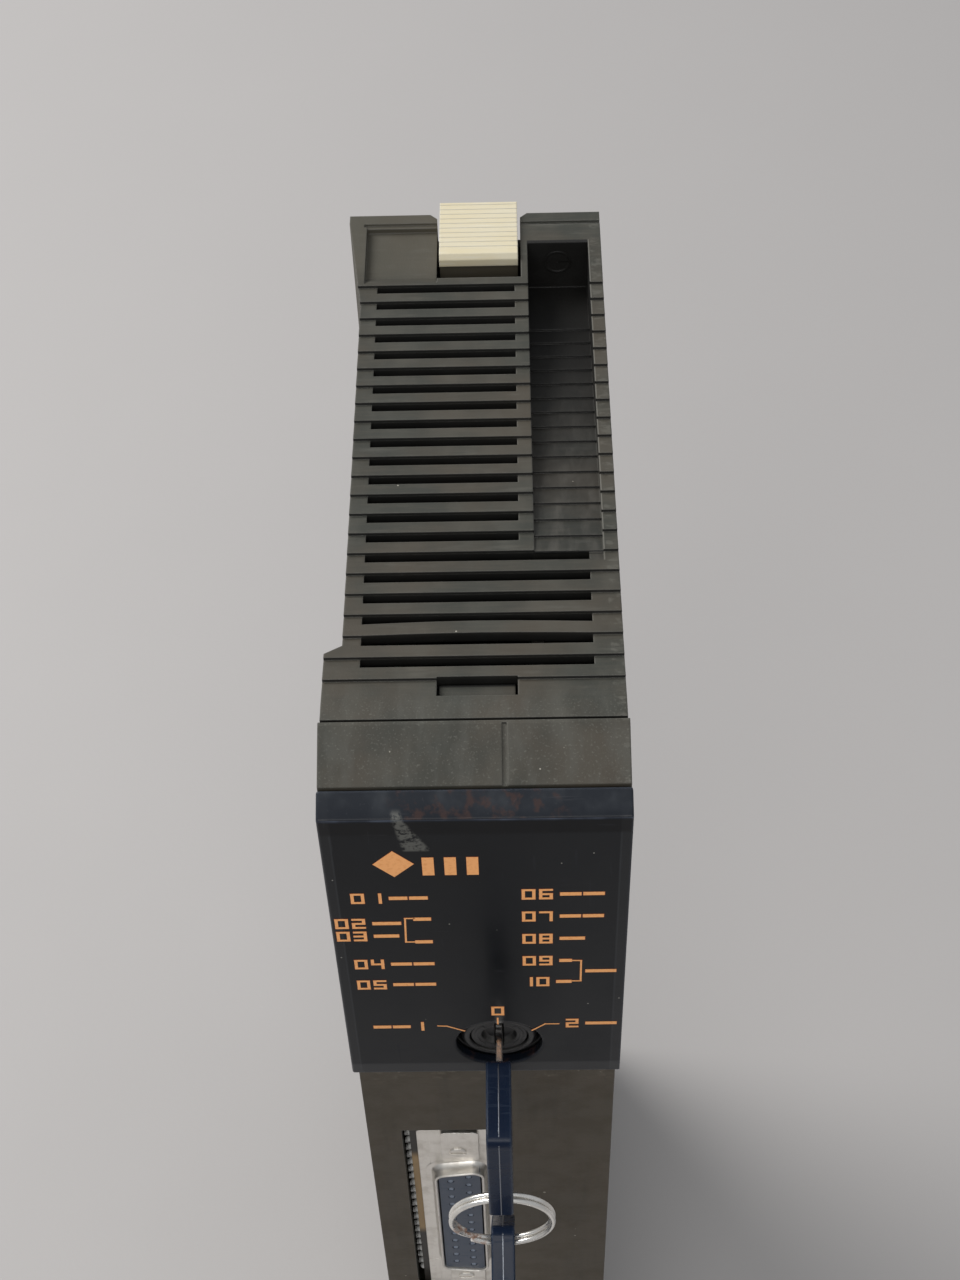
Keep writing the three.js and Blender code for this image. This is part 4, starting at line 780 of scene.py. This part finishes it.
def rounded_plate(x, z, half_x, half_z, radius, y_front, y_back):
    """A plate with round corners, standing across Y."""
    rim = []
    for sx, sz, start in ((1, 1, 0), (-1, 1, 90), (-1, -1, 180), (1, -1, 270)):
        for k in range(5):
            t = math.radians(start + k * 22.5)
            rim.append((x + sx * (half_x - radius) + radius * math.cos(t),
                        z + sz * (half_z - radius) + radius * math.sin(t)))
    return slab(rim, y_front, y_back)


for port in ("upper_port", "lower_port"):
    x, z, face, half, end, collar = port_shell(port)
    low, high = in_mm(port + "_shell")
    flange_end = (high.z - low.z) / 2 - 3.2
    ends = []
    for side in (1, -1):
        middle = z + side * (end - 2.7)
        ends.append(rounded_plate(x, middle, half, 5.6, 0.5, face + 0.02, face + 0.9))
        tab = z + side * (flange_end - 1.5)
        ends.append(rounded_plate(x + 0.3, tab, 2.9, 4.7, 0.6, face - 0.7, face + 0.05))
    for side in (1, -1):
        strip_x = x + side * (half - 0.9)
        ends.append(rounded_plate(strip_x, z, 0.9, end, 0.3, face + 0.05, face + 0.9))
    shell = piece(port + "_drawn_shell", [collar, *ends], "module", FINISH["nickel"])
    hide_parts(port + "_shell")
    print(port, "shell at z", round(z, 1), "face at y", round(face, 2))

# %% [markdown]
# ## Contacts in the ports
#
# Each port body has two rows of contacts. A contact is a short tube whose ring-shaped end
# lies just inside the body's face and shows as a dull dot. All the tubes of one port make
# one piece. The rows stand 2.84 mm apart and the contacts 2.77 mm apart, the usual spacing
# of D-shaped ports.

# %% contacts
def socket_tubes(port, way, pitch=2.77, gap=2.84):
    """The socket ends of one port: one row of so many, and one row of one less."""
    screw_low, screw_high = in_mm(port + "_screw_top")
    low, high = in_mm(port + "_insert")
    x, z = (screw_low.x + screw_high.x) / 2, (low.z + high.z) / 2
    tubes = []
    for row_x, count in ((x + gap / 2, way), (x - gap / 2, way - 1)):
        for i in range(count):
            at = z + (i - (count - 1) / 2) * pitch
            rings = []
            for r, y in ((0.4, 2.0), (0.4, 0.1), (0.36, 0.03), (0.24, 0.03), (0.2, 0.1), (0.2, 2.0)):
                turn = [2 * math.pi * k / 12 for k in range(12)]
                rings.append([(row_x + r * math.cos(t), low.y + y, at + r * math.sin(t)) for t in turn])
            tubes.append(skin(rings, cap=False))
    return tubes


for port, way in (("upper_port", 13), ("lower_port", 19)):
    piece(port + "_sockets", socket_tubes(port, way), "module", SOCKET_METAL)
    print(port, "sockets:", 2 * way - 1)

# %% [markdown]
# ## Solder beads
#
# The header's pins end on the board's left face in a row of solder beads, seen as bright
# grains in the gap beside the ports. A bead is a small dome, built from rings like every
# other turned piece here.

# %% solder beads
header_low, header_high = in_mm("edge_header")
board_low = in_mm("main_board")[0]
PINS = 22
BEAD = 0.55


def bead(x, y, z, radius):
    """A dome that stands on the board's left face."""
    rings = []
    for k in range(5):
        lift = math.radians(k * 88 / 4)
        r, out = radius * math.cos(lift), radius * 1.15 * math.sin(lift)
        turn = [2 * math.pi * i / 12 for i in range(12)]
        rings.append([(x - out, y + r * math.cos(t), z + r * math.sin(t)) for t in turn])
    return skin(rings)


step = (header_high.z - header_low.z - 2.4) / (PINS - 1)
first_bead = header_high.z - 1.2
bead_x, bead_y = board_low.x - 0.02, board_low.y + 0.62
beads = [bead(bead_x, bead_y, first_bead - i * step, BEAD) for i in range(PINS)]
piece("solder_beads", beads, "module", SOLDER)
print("solder beads:", PINS, "at a pitch of", round(step, 2))

# %% [markdown]
# ## Marks printed on the window
#
# The window carries an orange legend. What it says isn't needed to know the object, so the
# marks here are generic: a diamond and bars for the title, numbered rows beside the ten
# lamps, brackets that pair rows, and the numbers 0, 1 and 2 round the key switch with
# their leader lines. Each mark is a thin flat ribbon of ink, with a slightly wider, dark red
# one under it as a painted shadow.

# %% ink
def ink(name, color, faded):
    paint = Paint(name)
    thin = paint.ramp(paint.grain(0.5, detail=4, shift=2.0), 0.45, 0.75)
    paint.feed("Base Color", paint.blend(thin * 0.6, color, faded))
    paint.feed("Roughness", 0.45 + 0.2 * thin)
    return paint.material


INK = ink("legend_ink", (0.94, 0.43, 0.15), (0.74, 0.29, 0.085))
INK_SHADOW = ink("legend_ink_shadow", (0.26, 0.045, 0.012), (0.15, 0.03, 0.01))
SEGMENT = {
    "a": ((0, 1), (1, 1)), "b": ((1, 1), (1, 0.5)), "c": ((1, 0.5), (1, 0)),
    "d": ((0, 0), (1, 0)), "e": ((0, 0.5), (0, 0)), "f": ((0, 1), (0, 0.5)), "g": ((0, 0.5), (1, 0.5)),
}
DIGIT = {
    0: "abcdef", 1: "bc", 2: "abged", 3: "abgcd", 4: "fgbc",
    5: "afgcd", 6: "afgecd", 7: "abc", 8: "abcdefg", 9: "abcdfg",
}
STROKE = 0.2


def stroke(start, end, half=STROKE):
    """A straight stroke between two (x, z) points, squared off a little past them."""
    a, b = Vector(start), Vector(end)
    run = (b - a).normalized() * half
    across = Vector((-run.y, run.x))
    return [tuple(p) for p in (a - run - across, b + run - across, b + run + across, a - run + across)]


def number(value, x, z, wide=1.3, tall=1.9):
    """The strokes of a one-digit number whose left foot is at (x, z)."""
    marks = []
    for letter in DIGIT[value]:
        (x0, z0), (x1, z1) = SEGMENT[letter]
        marks.append(stroke((x + x0 * wide, z + z0 * tall), (x + x1 * wide, z + z1 * tall)))
    return marks


def bars(x0, x1, z, count):
    """Dashes that fill a row between two places."""
    gap = 0.95
    each = (x1 - x0 - gap * (count - 1)) / count
    starts = [x0 + i * (each + gap) for i in range(count)]
    return [stroke((start, z), (start + each, z), 0.36) for start in starts]


def pair(value, x, z, tall=1.9):
    """A two-digit number, with a nought in front of a single digit."""
    return number(value // 10, x, z, 1.3, tall) + number(value % 10, x + 2.15, z, 1.3, tall)


# %% the legend's rows
def height(drop):
    """Z at a drop below the window's top edge, both in millimetres."""
    return WINDOW_TOP - drop


TALL = 1.9
legend = {"title": [], "rows": [], "brackets": [], "key_positions": []}
DIAMOND = ((-2.5, 0), (0, -2.8), (2.5, 0), (0, 2.8))
legend["title"].append([(-10.1 + dx, height(9.2) + dz) for dx, dz in DIAMOND])
for x in (-5.9, -3.2, -0.5):
    legend["title"].append(stroke((x, height(11.0)), (x, height(8.6)), 0.72))

LEFT_ROWS = [(1, -15.6, -6.6, 16.8, 2), (2, -18.0, -10.2, 22.6, 1), (3, -18.0, -10.6, 25.6, 1),
             (4, -16.2, -6.4, 32.5, 2), (5, -16.2, -6.4, 37.7, 2)]
RIGHT_ROWS = [(6, 5.6, 15.3, 16.3, 2), (7, 5.6, 15.3, 21.4, 2), (8, 5.6, 13.0, 26.7, 1),
              (9, 5.6, 11.4, 32.1, 1), (10, 5.2, 11.4, 37.4, 1)]
for value, x0, x1, drop, dashes in LEFT_ROWS + RIGHT_ROWS:
    z = height(drop) - TALL / 2
    legend["rows"] += pair(value, x0, z)
    legend["rows"] += bars(x0 + 4.9, x1, height(drop), dashes)
for drop in (21.7, 27.1):
    legend["rows"] += bars(-7.9, -6.4, height(drop), 1)
legend["rows"] += bars(13.9, 17.2, height(34.8), 1)

for points in (((-8.2, 21.5), (-9.3, 21.5), (-9.45, 27.1), (-8.3, 27.1)),
               ((11.9, 32.15), (12.95, 32.2), (12.95, 37.3), (11.9, 37.3))):
    corners = [(x, height(drop)) for x, drop in points]
    legend["brackets"] += [stroke(a, b, 0.12) for a, b in zip(corners, corners[1:])]

LEADERS = (((-6.2, 48.8), (-5.0, 48.9), (-2.7, 50.25)), ((10.1, 48.6), (8.3, 48.6), (6.55, 50.3)),
           ((1.9, 46.9), (1.9, 48.4)))
for points in LEADERS:
    corners = [(x, height(drop)) for x, drop in points]
    legend["key_positions"] += [stroke(a, b, 0.11) for a, b in zip(corners, corners[1:])]
legend["key_positions"] += number(0, 1.3, height(45.9))
legend["key_positions"] += number(1, -9.6, height(49.8)) + bars(-14.6, -10.3, height(48.9), 2)
legend["key_positions"] += number(2, 11.3, height(49.4)) + bars(14.1, 17.6, height(48.5), 1)


def grown(corners, by):
    """A mark's corners moved out from its middle."""
    middle = sum((Vector(c) for c in corners), Vector((0, 0))) / len(corners)
    return [tuple(Vector(c) + (Vector(c) - middle).normalized() * by) for c in corners]


for name, marks in legend.items():
    top = [slab(m, WINDOW_FACE - 0.03 - 0.002 * (i % 8), WINDOW_FACE + 0.05) for i, m in enumerate(marks)]
    # The wider dark red ribbons under the marks are a painted shadow.
    under = [slab(grown(m, 0.06), WINDOW_FACE - 0.01 - 0.002 * (i % 8), WINDOW_FACE + 0.05)
             for i, m in enumerate(marks)]
    piece("legend_" + name, top, "front_cover", INK, smooth=False)
    piece("legend_" + name + "_edge", under, "front_cover", INK_SHADOW, smooth=False)
print("marks:", {name: len(marks) for name, marks in legend.items()})

# %% [markdown]
# ## The mould's mark, and painted shade on the lock's face
#
# The channel's deep end shows the round witness of an ejector pin, and the lock's face has
# two dark crescents beside the keyway, bands of painted shade for the gap round the rotor.
# Both are thin flat bands round a centre, built from loops like the wires and shells.

# %% ejector mark and lock face
def arc_band(x, y, z, inner, outer, start, sweep, thick, steps=16):
    """A flat band round a centre, standing across Y."""
    loops = []
    for i in range(steps + 1):
        t = math.radians(start + sweep * i / steps)
        c, s = math.cos(t), math.sin(t)
        loop = []
        for r, h in ((inner, -thick), (outer, -thick), (outer, thick), (inner, thick)):
            loop.append((x + r * c, y + h, z + r * s))
        loops.append(loop)
    return skin(loops)


witness = [arc_band(CHANNEL_MIDDLE, CHANNEL_REAR, 246.4, 0.05, 2.0, 0, 360, 0.08),
           arc_band(CHANNEL_MIDDLE, CHANNEL_REAR - 0.06, 246.4, 1.75, 2.05, 0, 360, 0.08)]
piece("ejector_mark", witness, "module", FINISH["case_plastic"])
rotor_low = in_mm("lock_rotor")[0]
crescent_y = rotor_low.y + 0.1
# Painted shade: dark bands where the gap round the rotor lies in shade.
crescents = [arc_band(LOCK_X, crescent_y, LOCK_Z, 2.9, 3.4, start, 100, 0.16) for start in (-50, 130)]
piece("lock_gap_shade_crescents", crescents, "lock_core", FINISH["black_plastic"])
print("ejector mark and lock crescents made")

# %% [markdown]
# ## Floor, light and camera
#
# The module stands on a plain pale floor under soft light: one wide lamp above, to the left
# and behind, a weaker one in front, and an even sky. The lens looks down on the module's top
# at about fifty degrees, from in front, close enough for its sides to converge.

# %% floor
paint = Paint("floor")
soft = paint.grain(60, detail=3)
paint.feed("Base Color", paint.blend(soft * 0.4, (0.42, 0.405, 0.40), (0.385, 0.372, 0.368)))
paint.feed("Roughness", 0.6 + 0.1 * soft)
paint.bumps(paint.grain(1.5, detail=2), 0.02)
floor_mesh = bpy.data.meshes.new("floor")
reach = 2.5
floor_mesh.from_pydata([(-reach, -reach, 0), (reach, -reach, 0), (reach, reach, 0), (-reach, reach, 0)], [],
                       [(0, 1, 2, 3)])
floor_mesh.materials.append(paint.material)
floor = bpy.data.objects.new("floor", floor_mesh)
bpy.context.scene.collection.objects.link(floor)
floor.location.z = -0.0003


# %% lights
def area_light(name, place, aim, size, watts, color):
    data = bpy.data.lights.new(name, "AREA")
    data.shape = "DISK"
    data.size = size
    data.energy = watts
    data.color = color
    made = bpy.data.objects.new(name, data)
    bpy.context.scene.collection.objects.link(made)
    made.location = place
    made.rotation_euler = (Vector(aim) - Vector(place)).to_track_quat("-Z", "Y").to_euler()


area_light("key_light", (-0.85, 0.55, 1.1), (-0.1, 0.1, 0.1), 0.9, 17.5, (1.0, 0.985, 0.96))
area_light("fill_light", (-0.1, -0.95, 1.15), (0, 0, 0.15), 0.9, 7, (1.0, 0.985, 0.96))
world = bpy.data.worlds.new("sky")
world.use_nodes = True
world.node_tree.nodes["Background"].inputs["Color"].default_value = (0.93, 0.96, 1.0, 1)
world.node_tree.nodes["Background"].inputs["Strength"].default_value = 0.42
bpy.context.scene.world = world

# %% camera
PITCH, YAW, ROLL = math.radians(50.348), math.radians(-1.617), math.radians(2.145)
ahead = Vector((math.sin(YAW) * math.cos(PITCH), math.cos(YAW) * math.cos(PITCH), -math.sin(PITCH)))
level = Vector((math.cos(YAW), -math.sin(YAW), 0))
down = ahead.cross(level)
right = math.cos(ROLL) * level + math.sin(ROLL) * down
up = math.sin(ROLL) * level - math.cos(ROLL) * down
lens = bpy.data.cameras.new("camera")
lens.lens = 58.68
lens.sensor_width = 36
lens.clip_start = 0.01
EYE = (0.005386, -0.192687, 0.447266)
camera = bpy.data.objects.new("camera", lens)
camera.matrix_world = Matrix((
    (right.x, up.x, -ahead.x, EYE[0]),
    (right.y, up.y, -ahead.y, EYE[1]),
    (right.z, up.z, -ahead.z, EYE[2]),
    (0, 0, 0, 1),
))
bpy.context.scene.collection.objects.link(camera)
bpy.context.scene.camera = camera
bpy.context.scene.view_settings.view_transform = "Standard"
